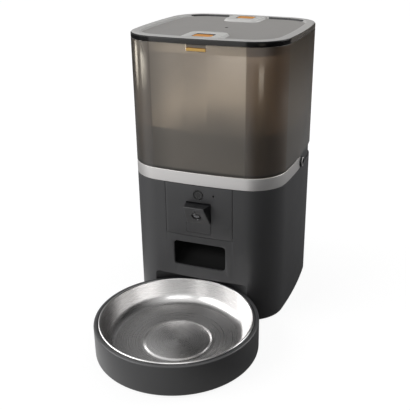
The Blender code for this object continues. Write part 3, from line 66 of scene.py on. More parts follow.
# Base housing. One charcoal ABS moulding, open above and below, on a square plan with bowed sides.
# Its front has a round alcove for the bowl holder, the chute's mouth and the opening for the panel.
BOW_RADIUS = 0.660
CORNER_RADIUS = 0.043
GAP = 0.0003
HOUSING_WALL = 0.0026
FOOT_HEIGHT = 0.0010
HOUSING_TOP = 0.1709
HOLDER_RADIUS = 0.0935
HOLDER_OFFSET = 0.1683
ALCOVE_ROOM = 0.0008
ALCOVE_TOP = 0.0497
ALCOVE_ROUND = 0.0050
MOUTH_HALF_WIDTH = 0.0328
MOUTH_LOW = 0.0645
MOUTH_HIGH = 0.0963
MOUTH_CORNER = 0.0045
PANEL_HALF_WIDTH = 0.0418
PANEL_LOW = 0.1058

housing_low, housing_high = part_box("base_shell")
HALF_WIDTH = housing_high.x
HALF_DEPTH = (housing_high.y - housing_low.y) / 2
CENTRE_Y = (housing_high.y + housing_low.y) / 2
FRONT_Y = CENTRE_Y - HALF_DEPTH


def corner_centre():
    """Centre of the arc that joins the bowed front to the bowed side."""
    across = BOW_RADIUS - HALF_WIDTH
    along = BOW_RADIUS - HALF_DEPTH
    slope = across / along
    rise = (across * across - along * along) / (2 * along)
    a = 1 + slope * slope
    b = slope * (rise + along)
    c = (rise + along) ** 2 - (BOW_RADIUS - CORNER_RADIUS) ** 2
    x = (-b + math.sqrt(b * b - a * c)) / a
    return x, slope * x + rise


def plan(inset=0.0, corner_steps=16, bow_steps=10):
    """The bowed square plan of the body, drawn inwards by an even inset."""
    across = BOW_RADIUS - HALF_WIDTH
    along = BOW_RADIUS - HALF_DEPTH
    corner_x, corner_y = corner_centre()
    side_end = math.atan2(corner_y, corner_x + across)
    back_start = math.atan2(corner_y + along, corner_x)
    bow = BOW_RADIUS - inset
    corner = CORNER_RADIUS - inset
    quarter = []
    for step in range(bow_steps):
        turn = side_end * step / bow_steps
        quarter.append((bow * math.cos(turn) - across, bow * math.sin(turn)))
    for step in range(corner_steps + 1):
        turn = side_end + (back_start - side_end) * step / corner_steps
        quarter.append((corner_x + corner * math.cos(turn), corner_y + corner * math.sin(turn)))
    for step in range(1, bow_steps):
        turn = back_start + (math.pi / 2 - back_start) * step / bow_steps
        quarter.append((bow * math.cos(turn), bow * math.sin(turn) - along))
    upper = quarter + [(0.0, HALF_DEPTH - inset)] + [(-x, y) for x, y in reversed(quarter)]
    lower = [(x, -y) for x, y in reversed(upper[1:-1])]
    return [(x, CENTRE_Y + y) for x, y in upper + lower]


def front_at(x, depth=0.0):
    """World y of the bowed front at one x, some depth behind the face."""
    bow = BOW_RADIUS - depth
    return CENTRE_Y + BOW_RADIUS - HALF_DEPTH - math.sqrt(bow * bow - x * x)


def made_object(name, mesh_data):
    """An object of a built mesh, in the scene and at the origin."""
    mesh = bpy.data.meshes.new(name)
    mesh_data.to_mesh(mesh)
    mesh_data.free()
    made = bpy.data.objects.new(name, mesh)
    bpy.context.scene.collection.objects.link(made)
    return made


def skinned(name, rings, closed=True, capped=True):
    """A solid through rings of matching points: closed on itself, capped at both ends, or a bare skin."""
    mesh_data = bmesh.new()
    loops = [[mesh_data.verts.new(point) for point in ring] for ring in rings]
    pairs = list(zip(loops, loops[1:]))
    if closed:
        pairs.append((loops[-1], loops[0]))
    for near, far in pairs:
        for index in range(len(near)):
            following = (index + 1) % len(near)
            mesh_data.faces.new((near[index], near[following], far[following], far[index]))
    if capped and not closed:
        mesh_data.faces.new(loops[0])
        mesh_data.faces.new(loops[-1])
    bmesh.ops.recalc_face_normals(mesh_data, faces=mesh_data.faces)
    return made_object(name, mesh_data)


def eased(corners, steps=4):
    """A closed section of (across, up, radius) corners with every corner rounded by its radius."""
    section = []
    for index, (across, up, radius) in enumerate(corners):
        here = Vector((across, up))
        if radius == 0:
            section.append(tuple(here))
            continue
        before = (Vector(corners[index - 1][:2]) - here).normalized()
        after = (Vector(corners[(index + 1) % len(corners)][:2]) - here).normalized()
        half = before.angle(after) / 2
        centre = here + (before + after).normalized() * (radius / math.sin(half))
        start = here + before * (radius / math.tan(half)) - centre
        end = here + after * (radius / math.tan(half)) - centre
        sweep = math.atan2(start.x * end.y - start.y * end.x, start.dot(end))
        for step in range(steps + 1):
            turn = sweep * step / steps
            x = start.x * math.cos(turn) - start.y * math.sin(turn)
            y = start.x * math.sin(turn) + start.y * math.cos(turn)
            section.append((centre.x + x, centre.y + y))
    return section


def moulding(name, corners, steps=4):
    """A ring that follows the body's plan, with an eased section of (inset, height, radius) corners."""
    return skinned(
        name, [[(x, y, z) for x, y in plan(inset)] for inset, z in eased(corners, steps)]
    )


def slab(name, levels):
    """A solid plate on the body's plan, through (inset, height) levels from one face to the other."""
    return skinned(name, [[(x, y, z) for x, y in plan(inset)] for inset, z in levels], closed=False)


def drum(name, levels, centre=(0.0, 0.0), steps=64):
    """A round solid through (radius, height) levels."""
    turns = [2 * math.pi * step / steps for step in range(steps)]
    rings = [
        [(centre[0] + r * math.cos(t), centre[1] + r * math.sin(t), z) for t in turns]
        for r, z in levels
    ]
    return skinned(name, rings, closed=False)


def rounded_loop(left, right, low, high, corner, steps=8):
    """The points of a rectangle with rounded corners."""
    points = []
    centres = (
        (right - corner, high - corner), (left + corner, high - corner),
        (left + corner, low + corner), (right - corner, low + corner),
    )
    for quarter, (x, y) in enumerate(centres):
        for step in range(steps + 1):
            turn = (quarter + step / steps) * math.pi / 2
            points.append((x + corner * math.cos(turn), y + corner * math.sin(turn)))
    return points


def baked(piece):
    """The piece's evaluated mesh in place of its modifiers."""
    bpy.context.view_layer.update()
    graph = bpy.context.evaluated_depsgraph_get()
    mesh = bpy.data.meshes.new_from_object(piece.evaluated_get(graph))
    piece.modifiers.clear()
    piece.data = mesh
    return piece


def carved(piece, *tools, how="DIFFERENCE"):
    """Takes each tool's shape from the piece, joins it on, or keeps what lies inside it."""
    for tool in tools:
        boolean = piece.modifiers.new(tool.name, "BOOLEAN")
        boolean.operation = how
        boolean.solver = "EXACT"
        boolean.object = tool
    baked(piece)
    for tool in tools:
        bpy.data.objects.remove(tool)
    return piece


def window_tool(name, half, low, high, corner, ease, depth):
    """A cutter for a hole in the bowed front whose outer edge is eased."""
    rings = []
    for grown, behind in ((ease, -0.004), (ease, 0.0), (0.3 * ease, 0.3 * ease), (0.0, ease), (0.0, depth)):
        loop = rounded_loop(-half - grown, half + grown, low - grown, high + grown, corner + grown)
        rings.append([(x, front_at(x) + behind, z) for x, z in loop])
    return skinned(name, rings, closed=False)


def node_group(name, inputs, outputs):
    """A shader node group with named inputs and outputs."""
    tree = bpy.data.node_groups.new(name, "ShaderNodeTree")
    for label, kind, value in inputs:
        socket = tree.interface.new_socket(label, in_out="INPUT", socket_type=kind)
        if value is not None:
            socket.default_value = value
    for label, kind in outputs:
        tree.interface.new_socket(label, in_out="OUTPUT", socket_type=kind)
    return tree, tree.nodes.new("NodeGroupInput"), tree.nodes.new("NodeGroupOutput")


def wire(tree, kind, links=(), **values):
    """A shader node with its values set and its inputs linked."""
    node = tree.nodes.new(kind)
    for key, value in values.items():
        setattr(node, key, value)
    for key, source in links:
        if isinstance(source, bpy.types.NodeSocket):
            tree.links.new(source, node.inputs[key])
        else:
            node.inputs[key].default_value = source
    return node


def feed(tree, node, **sources):
    """Links each source to the node's input of that name, written with _ for a space."""
    for label, source in sources.items():
        tree.links.new(source, node.inputs[label.replace("_", " ")])


def maths(tree, operation, *values, **settings):
    """The result of one Math node on its values and links, in order."""
    return wire(tree, "ShaderNodeMath", enumerate(values), operation=operation, **settings).outputs[0]


def noise(tree, place, scale, detail):
    """A cloudy or grainy value over the surface."""
    links = (("Vector", place), ("Scale", scale), ("Detail", detail))
    return wire(tree, "ShaderNodeTexNoise", links).outputs["Fac"]


def moulded_skin_group():
    """Uneven tone, fine spark grain and slightly patchy gloss of a moulded face."""
    tree, given, result = node_group(
        "moulded_skin",
        [
            ("Vector", "NodeSocketVector", None), ("Colour", "NodeSocketColor", (0.5, 0.5, 0.5, 1)),
            ("Roughness", "NodeSocketFloat", 0.5), ("Tone spread", "NodeSocketFloat", 0.06),
            ("Gloss spread", "NodeSocketFloat", 0.08), ("Grain size", "NodeSocketFloat", 900.0),
        ],
        [
            ("Colour", "NodeSocketColor"), ("Roughness", "NodeSocketFloat"),
            ("Height", "NodeSocketFloat"),
        ],
    )
    place = given.outputs["Vector"]
    tone = maths(tree, "SUBTRACT", noise(tree, place, 11.0, 3.0), 0.5)
    spread = maths(tree, "MULTIPLY_ADD", tone, given.outputs["Tone spread"], 1.0)
    tinted = wire(tree, "ShaderNodeVectorMath", (
        (0, given.outputs["Colour"]), ("Scale", spread),
    ), operation="SCALE")
    patch = maths(tree, "SUBTRACT", noise(tree, place, 46.0, 4.0), 0.5)
    middle, spread_of_gloss = given.outputs["Roughness"], given.outputs["Gloss spread"]
    gloss = maths(tree, "MULTIPLY_ADD", patch, spread_of_gloss, middle, use_clamp=True)
    grain = noise(tree, place, given.outputs["Grain size"], 2.0)
    feed(tree, result, Colour=tinted.outputs[0], Roughness=gloss, Height=grain)
    return tree


MOULDED_SKIN = moulded_skin_group()


def blank_finish(name):
    """A new material with its node tree, its shader and the place on the piece in Object coordinates."""
    finish = bpy.data.materials.new(name)
    finish.use_nodes = True
    tree = finish.node_tree
    place = tree.nodes.new("ShaderNodeTexCoord").outputs["Object"]
    return finish, tree, tree.nodes["Principled BSDF"], place


def moulded(name, colour, roughness, grain=900.0, relief=0.12, tone=0.10, patch=0.10, **sockets):
    """A moulded finish: the shared skin drives the colour, gloss and grain of one Principled shader."""
    finish, tree, shader, place = blank_finish(name)
    skin = wire(tree, "ShaderNodeGroup", (
        ("Vector", place), ("Colour", (*colour, 1.0)), ("Roughness", roughness), ("Tone spread", tone),
        ("Gloss spread", patch), ("Grain size", grain),
    ), node_tree=MOULDED_SKIN)
    bump = wire(tree, "ShaderNodeBump", (
        ("Height", skin.outputs["Height"]), ("Strength", relief), ("Distance", 0.0002),
    ))
    feed(
        tree, shader, Base_Color=skin.outputs["Colour"], Roughness=skin.outputs["Roughness"],
        Normal=bump.outputs["Normal"]
    )
    for socket, value in sockets.items():
        shader.inputs[socket.replace("_", " ")].default_value = value
    return finish


def fitted(piece, finish, body, nodes=(), sharp=32):
    """Shades a finished piece, gives it its material and sets it in the frame for its CAD nodes."""
    if finish is not None:
        piece.data.materials.clear()
        piece.data.materials.append(finish)
    piece.data.shade_smooth()
    piece.data.set_sharp_from_angle(angle=math.radians(sharp))
    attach(piece, body)
    if nodes:
        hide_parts(*nodes)
    return piece


CHARCOAL = moulded("charcoal_abs", (0.050, 0.050, 0.052), 0.42, grain=1400.0, relief=0.10)
BLACK = moulded("black_abs", (0.008, 0.008, 0.009), 0.45, grain=1400.0, relief=0.10)

housing = moulding("base_housing", [
    (0.0, FOOT_HEIGHT, 0.0010), (0.0, HOUSING_TOP, 0.0005),
    (HOUSING_WALL, HOUSING_TOP, 0.0003), (HOUSING_WALL, FOOT_HEIGHT, 0.0005),
])
alcove_radius = HOLDER_RADIUS + ALCOVE_ROOM
holder_y = CENTRE_Y - HOLDER_OFFSET


def alcove_levels(grown):
    """The alcove's wall and the round edge of its roof as (radius, height) levels, grown outwards."""
    radius = alcove_radius + grown
    top = ALCOVE_TOP + grown
    bend = [
        (radius - ALCOVE_ROUND * (1 - math.sin(t)), top - ALCOVE_ROUND * (1 - math.cos(t)))
        for t in (math.pi / 2 - math.pi / 12 * step for step in range(7))
    ]
    return [(radius, -0.01)] + bend


def alcove_tool(name, grown, low=None):
    """The alcove as a solid, grown outwards, from below the floor or from a given height."""
    levels = alcove_levels(grown)
    if low is not None:
        levels[0] = (levels[0][0], low)
    return drum(name, levels, (0.0, holder_y), 120)


jacket = slab("alcove_jacket", [(HOUSING_WALL / 2, FOOT_HEIGHT + GAP), (HOUSING_WALL / 2, HOUSING_TOP)])
carved(jacket, alcove_tool("jacket_keep", HOUSING_WALL), how="INTERSECT")
carved(housing, jacket, how="UNION")
carved(
    housing,
    alcove_tool("alcove_space", 0.0),
    window_tool("mouth_cut", MOUTH_HALF_WIDTH, MOUTH_LOW, MOUTH_HIGH, MOUTH_CORNER, 0.0006, 0.012),
    window_tool(
        "panel_cut", PANEL_HALF_WIDTH + GAP, PANEL_LOW - GAP, HOUSING_TOP + 0.010, 0.0002, 0.0002, 0.012
    ),
)
TO_REAR = Matrix.Rotation(-math.pi / 2, 4, "X")
SOCKET_HOLE = 0.0058
SOCKET_PLACE = (0.045, CENTRE_Y + HALF_DEPTH - 0.010, 0.030)
socket_hole = drum("socket_hole", [(SOCKET_HOLE, 0.0), (SOCKET_HOLE, 0.02)], steps=48)
socket_hole.data.transform(Matrix.Translation(SOCKET_PLACE) @ TO_REAR)
carved(housing, socket_hole)
fitted(housing, CHARCOAL, "base", ["base_shell"])

# Bottom cover. A flat charcoal ABS plate set in the housing's foot, held by four countersunk screws.
# Its sound holes are slots below the speaker; it stands on four rubber feet.
COVER_LOW = FOOT_HEIGHT + GAP
COVER_HIGH = COVER_LOW + 0.0024
CUT_DEPTH = 0.02
SPEAKER_X = 0.030
SPEAKER_Y = CENTRE_Y + 0.030

cover = slab("base_bottom", [
    (HOUSING_WALL + GAP + 0.0004, COVER_LOW), (HOUSING_WALL + GAP, COVER_LOW + 0.0004),
    (HOUSING_WALL + GAP, COVER_HIGH),
])
carved(cover, alcove_tool("cover_alcove", HOUSING_WALL + GAP))


def geometry_tree(name, inputs):
    """A Geometry Nodes tree with a geometry input, named size inputs and a geometry output."""
    tree = bpy.data.node_groups.new(name, "GeometryNodeTree")
    tree.interface.new_socket("Geometry", in_out="INPUT", socket_type="NodeSocketGeometry")
    for label, value in inputs:
        kind = "NodeSocketInt" if isinstance(value, int) else "NodeSocketFloat"
        socket = tree.interface.new_socket(label, in_out="INPUT", socket_type=kind)
        socket.default_value = value
    tree.interface.new_socket("Geometry", in_out="OUTPUT", socket_type="NodeSocketGeometry")
    return tree, tree.nodes.new("NodeGroupInput"), tree.nodes.new("NodeGroupOutput")


def grown_by(piece, tree, values, finish):
    """Runs a Geometry Nodes tree on the piece with its sizes and keeps the plain mesh it makes."""
    modifier = piece.modifiers.new(tree.name, "NODES")
    modifier.node_group = tree
    sockets = {
        item.name: item.identifier
        for item in tree.interface.items_tree
        if item.item_type == "SOCKET" and item.in_out == "INPUT"
    }
    for label, value in values.items():
        modifier[sockets[label]] = value
    baked(piece)
    piece.data.materials.clear()
    piece.data.materials.append(finish)
    return piece


def vector(tree, **parts):
    """A vector from the X, Y and Z that are given."""
    return wire(tree, "ShaderNodeCombineXYZ", parts.items()).outputs[0]


def sound_slot_tree():
    """Cuts a row of round-ended slots through a plate."""
    tree, given, result = geometry_tree("sound_slots", [
        ("Slots", 5), ("Pitch", 0.005), ("Slot width", 0.0018), ("Slot length", 0.022),
        ("Centre X", 0.0), ("Centre Y", 0.0), ("Height", 0.0),
    ])
    middle = wire(tree, "GeometryNodeMeshCube", (("Size", (1.0, 1.0, 1.0)),))
    size = vector(tree, X=given.outputs["Slot width"], Y=given.outputs["Slot length"], Z=CUT_DEPTH)
    stretch = wire(tree, "GeometryNodeTransform", (("Geometry", middle.outputs["Mesh"]), ("Scale", size)))
    end_disc = wire(tree, "GeometryNodeMeshCylinder", (
        ("Vertices", 20), ("Depth", CUT_DEPTH),
        ("Radius", maths(tree, "MULTIPLY", given.outputs["Slot width"], 0.5)),
    ))
    half_length = maths(tree, "MULTIPLY", given.outputs["Slot length"], 0.5)
    ends = []
    for sign in (1.0, -1.0):
        at = vector(tree, Y=maths(tree, "MULTIPLY", half_length, sign))
        ends.append(wire(tree, "GeometryNodeTransform", (
            ("Geometry", end_disc.outputs["Mesh"]), ("Translation", at),
        )))
    slot = wire(tree, "GeometryNodeMeshBoolean", operation="UNION", solver="EXACT")
    for shape in (stretch, *ends):
        tree.links.new(shape.outputs["Geometry"], slot.inputs["Mesh 2"])
    gaps = maths(tree, "SUBTRACT", given.outputs["Slots"], 1.0)
    reach = maths(tree, "MULTIPLY", gaps, given.outputs["Pitch"])
    first = maths(tree, "MULTIPLY_ADD", reach, -0.5, given.outputs["Centre X"])
    start = vector(tree, X=first, Y=given.outputs["Centre Y"], Z=given.outputs["Height"])
    row = wire(tree, "GeometryNodeMeshLine", (
        ("Count", given.outputs["Slots"]), ("Start Location", start),
        ("Offset", vector(tree, X=given.outputs["Pitch"])),
    ))
    spread = wire(tree, "GeometryNodeInstanceOnPoints", (
        ("Points", row.outputs["Mesh"]), ("Instance", slot.outputs["Mesh"]),
    ))
    solid = wire(tree, "GeometryNodeRealizeInstances", (("Geometry", spread.outputs["Instances"]),))
    cut = wire(tree, "GeometryNodeMeshBoolean", operation="DIFFERENCE", solver="EXACT")
    feed(tree, cut, Mesh_1=given.outputs["Geometry"], Mesh_2=solid.outputs["Geometry"])
    plate = wire(tree, "GeometryNodeRealizeInstances", (("Geometry", cut.outputs["Mesh"]),))
    painted = wire(tree, "GeometryNodeSetMaterial", (
        ("Geometry", plate.outputs["Geometry"]), ("Material", CHARCOAL),
    ))
    feed(tree, result, Geometry=painted.outputs["Geometry"])
    return tree


grown_by(cover, sound_slot_tree(), {
    "Slots": 5, "Pitch": 0.005, "Slot width": 0.0018, "Slot length": 0.0202,
    "Centre X": SPEAKER_X, "Centre Y": SPEAKER_Y,
    "Height": (COVER_LOW + COVER_HIGH) / 2,
}, CHARCOAL)


def corner_set_tree():
    """Sets one piece out at the four corners of a rectangle."""
    tree, given, result = geometry_tree("corner_set", [
        ("Across", 0.1), ("Along", 0.1), ("Centre Y", 0.0),
    ])
    tree.interface.new_socket("Piece", in_out="INPUT", socket_type="NodeSocketObject")
    tree.interface.new_socket("Finish", in_out="INPUT", socket_type="NodeSocketMaterial")
    corners = wire(tree, "GeometryNodeMeshGrid", (
        ("Size X", given.outputs["Across"]), ("Size Y", given.outputs["Along"]),
        ("Vertices X", 2), ("Vertices Y", 2),
    ))
    placed = wire(tree, "GeometryNodeTransform", (
        ("Geometry", corners.outputs["Mesh"]), ("Translation", vector(tree, Y=given.outputs["Centre Y"])),
    ))
    piece = wire(tree, "GeometryNodeObjectInfo", (("Object", given.outputs["Piece"]),))
    copies = wire(tree, "GeometryNodeInstanceOnPoints", (
        ("Points", placed.outputs["Geometry"]), ("Instance", piece.outputs["Geometry"]),
    ))
    solid = wire(tree, "GeometryNodeRealizeInstances", (("Geometry", copies.outputs["Instances"]),))
    painted = wire(tree, "GeometryNodeSetMaterial", (
        ("Geometry", solid.outputs["Geometry"]), ("Material", given.outputs["Finish"]),
    ))
    feed(tree, result, Geometry=painted.outputs["Geometry"])
    return tree


CORNER_SET = corner_set_tree()


def set_at_corners(name, piece, across, along, centre_y, finish):
    """Four copies of a piece, made one plain mesh; the piece itself is used up."""
    holder = made_object(name, bmesh.new())
    sizes = {
        "Across": across, "Along": along, "Centre Y": centre_y, "Piece": piece, "Finish": finish,
    }
    grown_by(holder, CORNER_SET, sizes, finish)
    bpy.data.objects.remove(piece)
    return holder


ZINC = moulded(
    "zinc_plated_steel", (0.42, 0.42, 0.41), 0.34, grain=700.0, relief=0.15, patch=0.25, Metallic=1.0
)
first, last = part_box("cover_screw_1"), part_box("cover_screw_4")
screw_across = (last[0].x + last[1].x - first[0].x - first[1].x) / 2
screw_along = (last[0].y + last[1].y - first[0].y - first[1].y) / 2
screw = drum("cover_screw", [
    (0.0024, 0.0013), (0.0028, 0.00145), (0.0013, 0.0026), (0.0012, 0.0145), (0.0004, 0.0153),
], steps=40)
for turn in (0, 1):
    blade = skinned("driver_slot", [
        [(x, y, z) for x, y in rounded_loop(-long, long, -wide, wide, wide * 0.5, 3)]
        for z, long, wide in ((0.0005, 0.0015, 0.00036), (0.0013, 0.0015, 0.00036), (0.0022, 0.0006, 0.0002))
    ], closed=False)
    blade.data.transform(Matrix.Rotation(turn * math.pi / 2, 4, "Z"))
    carved(screw, blade)
screws = set_at_corners("cover_screws", screw, screw_across, screw_along, CENTRE_Y, ZINC)
fitted(screws, None, "base", [f"cover_screw_{n}" for n in (1, 2, 3, 4)], 25)

sink = drum("screw_sink", [(0.0038, -0.001), (0.0034, 0.0013), (0.0018, 0.0026), (0.0016, 0.01)], steps=40)
sinks = set_at_corners("screw_sinks", sink, screw_across, screw_along, CENTRE_Y, CHARCOAL)
carved(cover, sinks)
fitted(cover, CHARCOAL, "base", ["base_bottom_cover"])

# Rubber feet. Four soft dark discs glued to the bottom cover, each with a shallow cup underneath.
# They carry the whole feeder and stop it sliding on a floor.
RUBBER = moulded("dark_rubber", (0.018, 0.018, 0.018), 0.85, grain=1800.0, relief=0.35, tone=0.25)
foot = drum("rubber_foot", [
    (0.0045, 0.0004), (0.0052, 0.0), (0.0076, 0.0), (0.0080, 0.0003), (0.0080, 0.0008), (0.0078, 0.0010),
], steps=48)
foot_low, foot_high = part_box("rubber_foot_1")
foot_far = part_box("rubber_foot_4")
foot_across = (foot_far[0].x + foot_far[1].x - foot_low.x - foot_high.x) / 2
foot_along = (foot_far[0].y + foot_far[1].y - foot_low.y - foot_high.y) / 2
foot_middle = (foot_far[0].y + foot_far[1].y + foot_low.y + foot_high.y) / 4
feet = set_at_corners("rubber_feet", foot, foot_across, foot_along, foot_middle, RUBBER)
fitted(feet, None, "base", [f"rubber_foot_{n}" for n in (1, 2, 3, 4)])

# Speaker and power socket. The speaker lies over the sound slots; the socket is a round black barrel
# pressed into the rear wall, with a steel pin in a blind bore.


def refinished(finish, *nodes):
    """Gives CAD nodes that stay as they are a finish."""
    for node in nodes:
        frame["nodes"][node].material_slots[0].material = finish


PAPER_CONE = moulded("speaker_cone_paper", (0.020, 0.019, 0.018), 0.8, grain=1500.0, relief=0.4, tone=0.3)
refinished(PAPER_CONE, "speaker")
inlet_low, inlet_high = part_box("power_inlet")
inlet_x = (inlet_low.x + inlet_high.x) / 2
inlet_z = (inlet_low.z + inlet_high.z) / 2
outside = inlet_high.y
barrel = drum("power_socket", [
    (0.0053, inlet_low.y), (0.0055, inlet_low.y + 0.0003), (0.0055, outside - 0.0046),
    (0.0072, outside - 0.0046), (0.0072, outside - 0.0034), (0.0055, outside - 0.0034),
    (0.0055, outside - 0.0004), (0.0051, outside), (0.0032, outside), (0.0028, outside - 0.0005),
    (0.0028, outside - 0.0095), (0.0009, outside - 0.0095), (0.0009, outside - 0.0016),
    (0.0006, outside - 0.0011), (0.0002, outside - 0.0010),
], steps=48)
barrel.data.transform(Matrix.Translation((inlet_x, 0, inlet_z)) @ TO_REAR)
fitted(barrel, BLACK, "base", ["power_inlet"])
barrel.data.materials.append(ZINC)
for face in barrel.data.polygons:
    off_axis = math.hypot(face.center.x - inlet_x, face.center.z - inlet_z)
    if off_axis < 0.0010 and face.center.y > outside - 0.0094:
        face.material_index = 1

# Deck and collar. One charcoal moulding closes the base, lets the food through its round mouth and
# stands up as the collar that takes the tank; its rear half shows behind the ends of the bright band.
DECK_LOW = 0.1660
DECK_HIGH = 0.1682
BAND_LOW = 0.1712
BAND_HIGH = 0.1858
COLLAR_INSET = 0.0016
BUTTON_Y = CENTRE_Y + 0.0025
BUTTON_RADIUS = 0.0063
BUTTON_WELL = 0.0068
DECK_MOUTH = 0.0400
BUTTON_Z = (BAND_LOW + BAND_HIGH) / 2
CHAMBER_Y = CENTRE_Y + 0.004


def side_drum(name, side, levels, steps=48):
    """A round solid along x, out from the middle plane, at the height of the band's buttons."""
    made = drum(name, levels, steps=steps)
    place = Matrix.Translation((0, BUTTON_Y, BUTTON_Z))
    made.data.transform(place @ Matrix.Rotation(side * math.pi / 2, 4, "Y"))
    return made


deck = slab("deck_and_collar", [
    (0.0029, DECK_LOW), (0.0029, BAND_LOW), (COLLAR_INSET + 0.0002, BAND_LOW),
    (COLLAR_INSET, BAND_LOW + 0.0002), (COLLAR_INSET, BAND_HIGH - 0.0004),
    (COLLAR_INSET + 0.0004, BAND_HIGH), (0.0049, BAND_HIGH), (0.0052, BAND_HIGH - 0.0003),
    (0.0052, DECK_HIGH + 0.0010), (0.0062, DECK_HIGH),
])
mouth = drum("mouth", [
    (DECK_MOUTH, DECK_LOW - 0.01), (DECK_MOUTH, DECK_HIGH - 0.0008),
    (DECK_MOUTH + 0.0008, DECK_HIGH), (DECK_MOUTH + 0.0008, DECK_HIGH + 0.01),
], (0.0, CHAMBER_Y), 96)
well_levels = [(BUTTON_WELL, 0.080), (BUTTON_WELL, 0.110)]
carved(deck, mouth, *(side_drum("collar_well", side, well_levels) for side in (-1, 1)))
fitted(deck, CHARCOAL, "base", ["base_deck"])

# Bright band. A thin silver-painted trim wrapped round the front half of the collar, clipped on, that
# ends at the round button on each side.
SATIN_SILVER = moulded(
    "satin_silver_paint", (0.70, 0.685, 0.675), 0.36, grain=2600.0, relief=0.05, tone=0.04, patch=0.06,
    Metallic=0.6
)
band = moulding("bright_band", [
    (0.0, BAND_LOW, 0.0004), (0.0, BAND_HIGH, 0.0005),
    (0.0013, BAND_HIGH, 0.0002), (0.0013, BAND_LOW, 0.0002),
])
band_end = BUTTON_Y - 0.55 * BUTTON_RADIUS


def block(name, left, right, low, high, corner, levels, steps=8, upright=False, rounding=1.0):
    """A round-cornered solid through (grown, height) levels; its corners take up the rounding's share
    of the growth. Upright, the outline stands in x and z and the levels are places along y."""
    rings = []
    for grown, level in levels:
        loop = rounded_loop(
            left - grown, right + grown, low - grown, high + grown, corner + rounding * grown, steps
        )
        rings.append([(a, level, b) if upright else (a, b, level) for a, b in loop])
    return skinned(name, rings, closed=False)


rear_half = block("rear_half", -0.12, 0.12, band_end, 0.30, 0.001, ((0.0, 0.15), (0.0, 0.20)), 2)
carved(band, rear_half, *(side_drum("band_well", side, well_levels) for side in (-1, 1)))
fitted(band, SATIN_SILVER, "base", ["trim_band"])

# Tank release buttons. Two silver push buttons, one on each side of the collar; their sides and
# dish are painted black as painted shade. A flange inside keeps each one in and unhooks the tank when
# it is pressed.
FLANGE = 0.0071
DISH_RADIUS = 0.0047
DISH_START = 0.0970
for side, hand in ((-1, "left"), (1, "right")):
    button = side_drum(f"tank_button_{hand}", side, [
        (FLANGE, 0.0890), (FLANGE, 0.0902), (0.0042, 0.0902), (0.0042, 0.0905), (0.0060, 0.0905),
        (0.0060, 0.0983), (0.00595, 0.0986), (0.0058, 0.0989), (0.0055, 0.0990), (0.0049, 0.0990),
        (0.0045, 0.09885), (0.0043, 0.0985), (0.0040, 0.0979), (0.0032, 0.0975), (0.0020, 0.0974),
    ], 64)
    fitted(button, SATIN_SILVER, f"release_{hand}", [f"release_button_{hand}"], 50)
    button.data.materials.append(BLACK)
    # Painted shade: the button's side and its dish are painted black.
    for face in button.data.polygons:
        off_axis = math.hypot(face.center.y - BUTTON_Y, face.center.z - BUTTON_Z)
        in_dish = off_axis < DISH_RADIUS and abs(face.center.x) > DISH_START
        on_side = abs(face.normal.x) < 0.3 and off_axis > 0.0050
        if in_dish or on_side:
            face.material_index = 1

# Control panel. A bowed charcoal slice set flush in the housing's front, with a thin gap round it and
# holes for the camera, the feed button and the microphone.
PANEL_HIGH = 0.1706
PANEL_THICKNESS = 0.0020
FEED_Z = 0.1590
POD_HALF = 0.0155
POD_LOW = 0.1105
POD_HIGH = 0.1500


def bowed_plate(name, half, low, high, thickness, ease):
    """A plate with the bow of the front and an eased outer edge."""
    def stops(a, b, count):
        """Places from a to b, each with how far the eased edge drops there."""
        inner = [a + ease + (b - a - 2 * ease) * step / count for step in range(count + 1)]
        places = [a, a + 0.3 * ease] + inner + [b - 0.3 * ease, b]
        drops = [ease, 0.3 * ease] + [0.0] * len(inner) + [0.3 * ease, ease]
        return list(zip(places, drops))

    columns = stops(-half, half, 28)
    rows = stops(low, high, 3)
    mesh_data = bmesh.new()
    near = [
        [mesh_data.verts.new((x, front_at(x) + min(ease, dx + dz), z)) for x, dx in columns]
        for z, dz in rows
    ]
    far = [
        [mesh_data.verts.new((x, front_at(x) + thickness, z)) for x, dx in columns] for z, dz in rows
    ]
    for i in range(len(rows) - 1):
        for j in range(len(columns) - 1):
            for grid in (near, far):
                mesh_data.faces.new((grid[i][j], grid[i][j + 1], grid[i + 1][j + 1], grid[i + 1][j]))
    last_row, last_column = len(rows) - 1, len(columns) - 1
    for j in range(last_column):
        for i in (0, last_row):
            mesh_data.faces.new((near[i][j], near[i][j + 1], far[i][j + 1], far[i][j]))
    for i in range(last_row):
        for j in (0, last_column):
            mesh_data.faces.new((near[i][j], near[i + 1][j], far[i + 1][j], far[i][j]))
    bmesh.ops.recalc_face_normals(mesh_data, faces=mesh_data.faces)
    return made_object(name, mesh_data)


def front_drum(name, levels, x, z, steps=48):
    """A round solid square to the front, its levels given as (radius, distance in from the face)."""
    made = drum(name, [(radius, -inwards) for radius, inwards in levels], steps=steps)
    place = Matrix.Translation((x, FRONT_Y, z)) @ Matrix.Rotation(math.pi / 2, 4, "X")
    made.data.transform(place)
    return made


panel = bowed_plate("control_face", PANEL_HALF_WIDTH, PANEL_LOW, PANEL_HIGH, PANEL_THICKNESS, 0.00025)
carved(
    panel,
    block("pod_hole", -POD_HALF, POD_HALF, POD_LOW, POD_HIGH, 0.0008, (
        (0.0, FRONT_Y - 0.004), (0.0, FRONT_Y + 0.006),
    ), 4, upright=True),
    front_drum("ring_hole", [
        (0.0064, -0.004), (0.0064, -0.0001), (0.0061, 0.0003), (0.0061, 0.006),
    ], 0, FEED_Z),
    front_drum("sound_hole", [
        (0.0013, -0.004), (0.0013, 0.0002), (0.0010, 0.0006), (0.0010, 0.006),
    ], 0.0188, 0.1598, 24),
)
fitted(panel, CHARCOAL, "base", ["control_panel"])

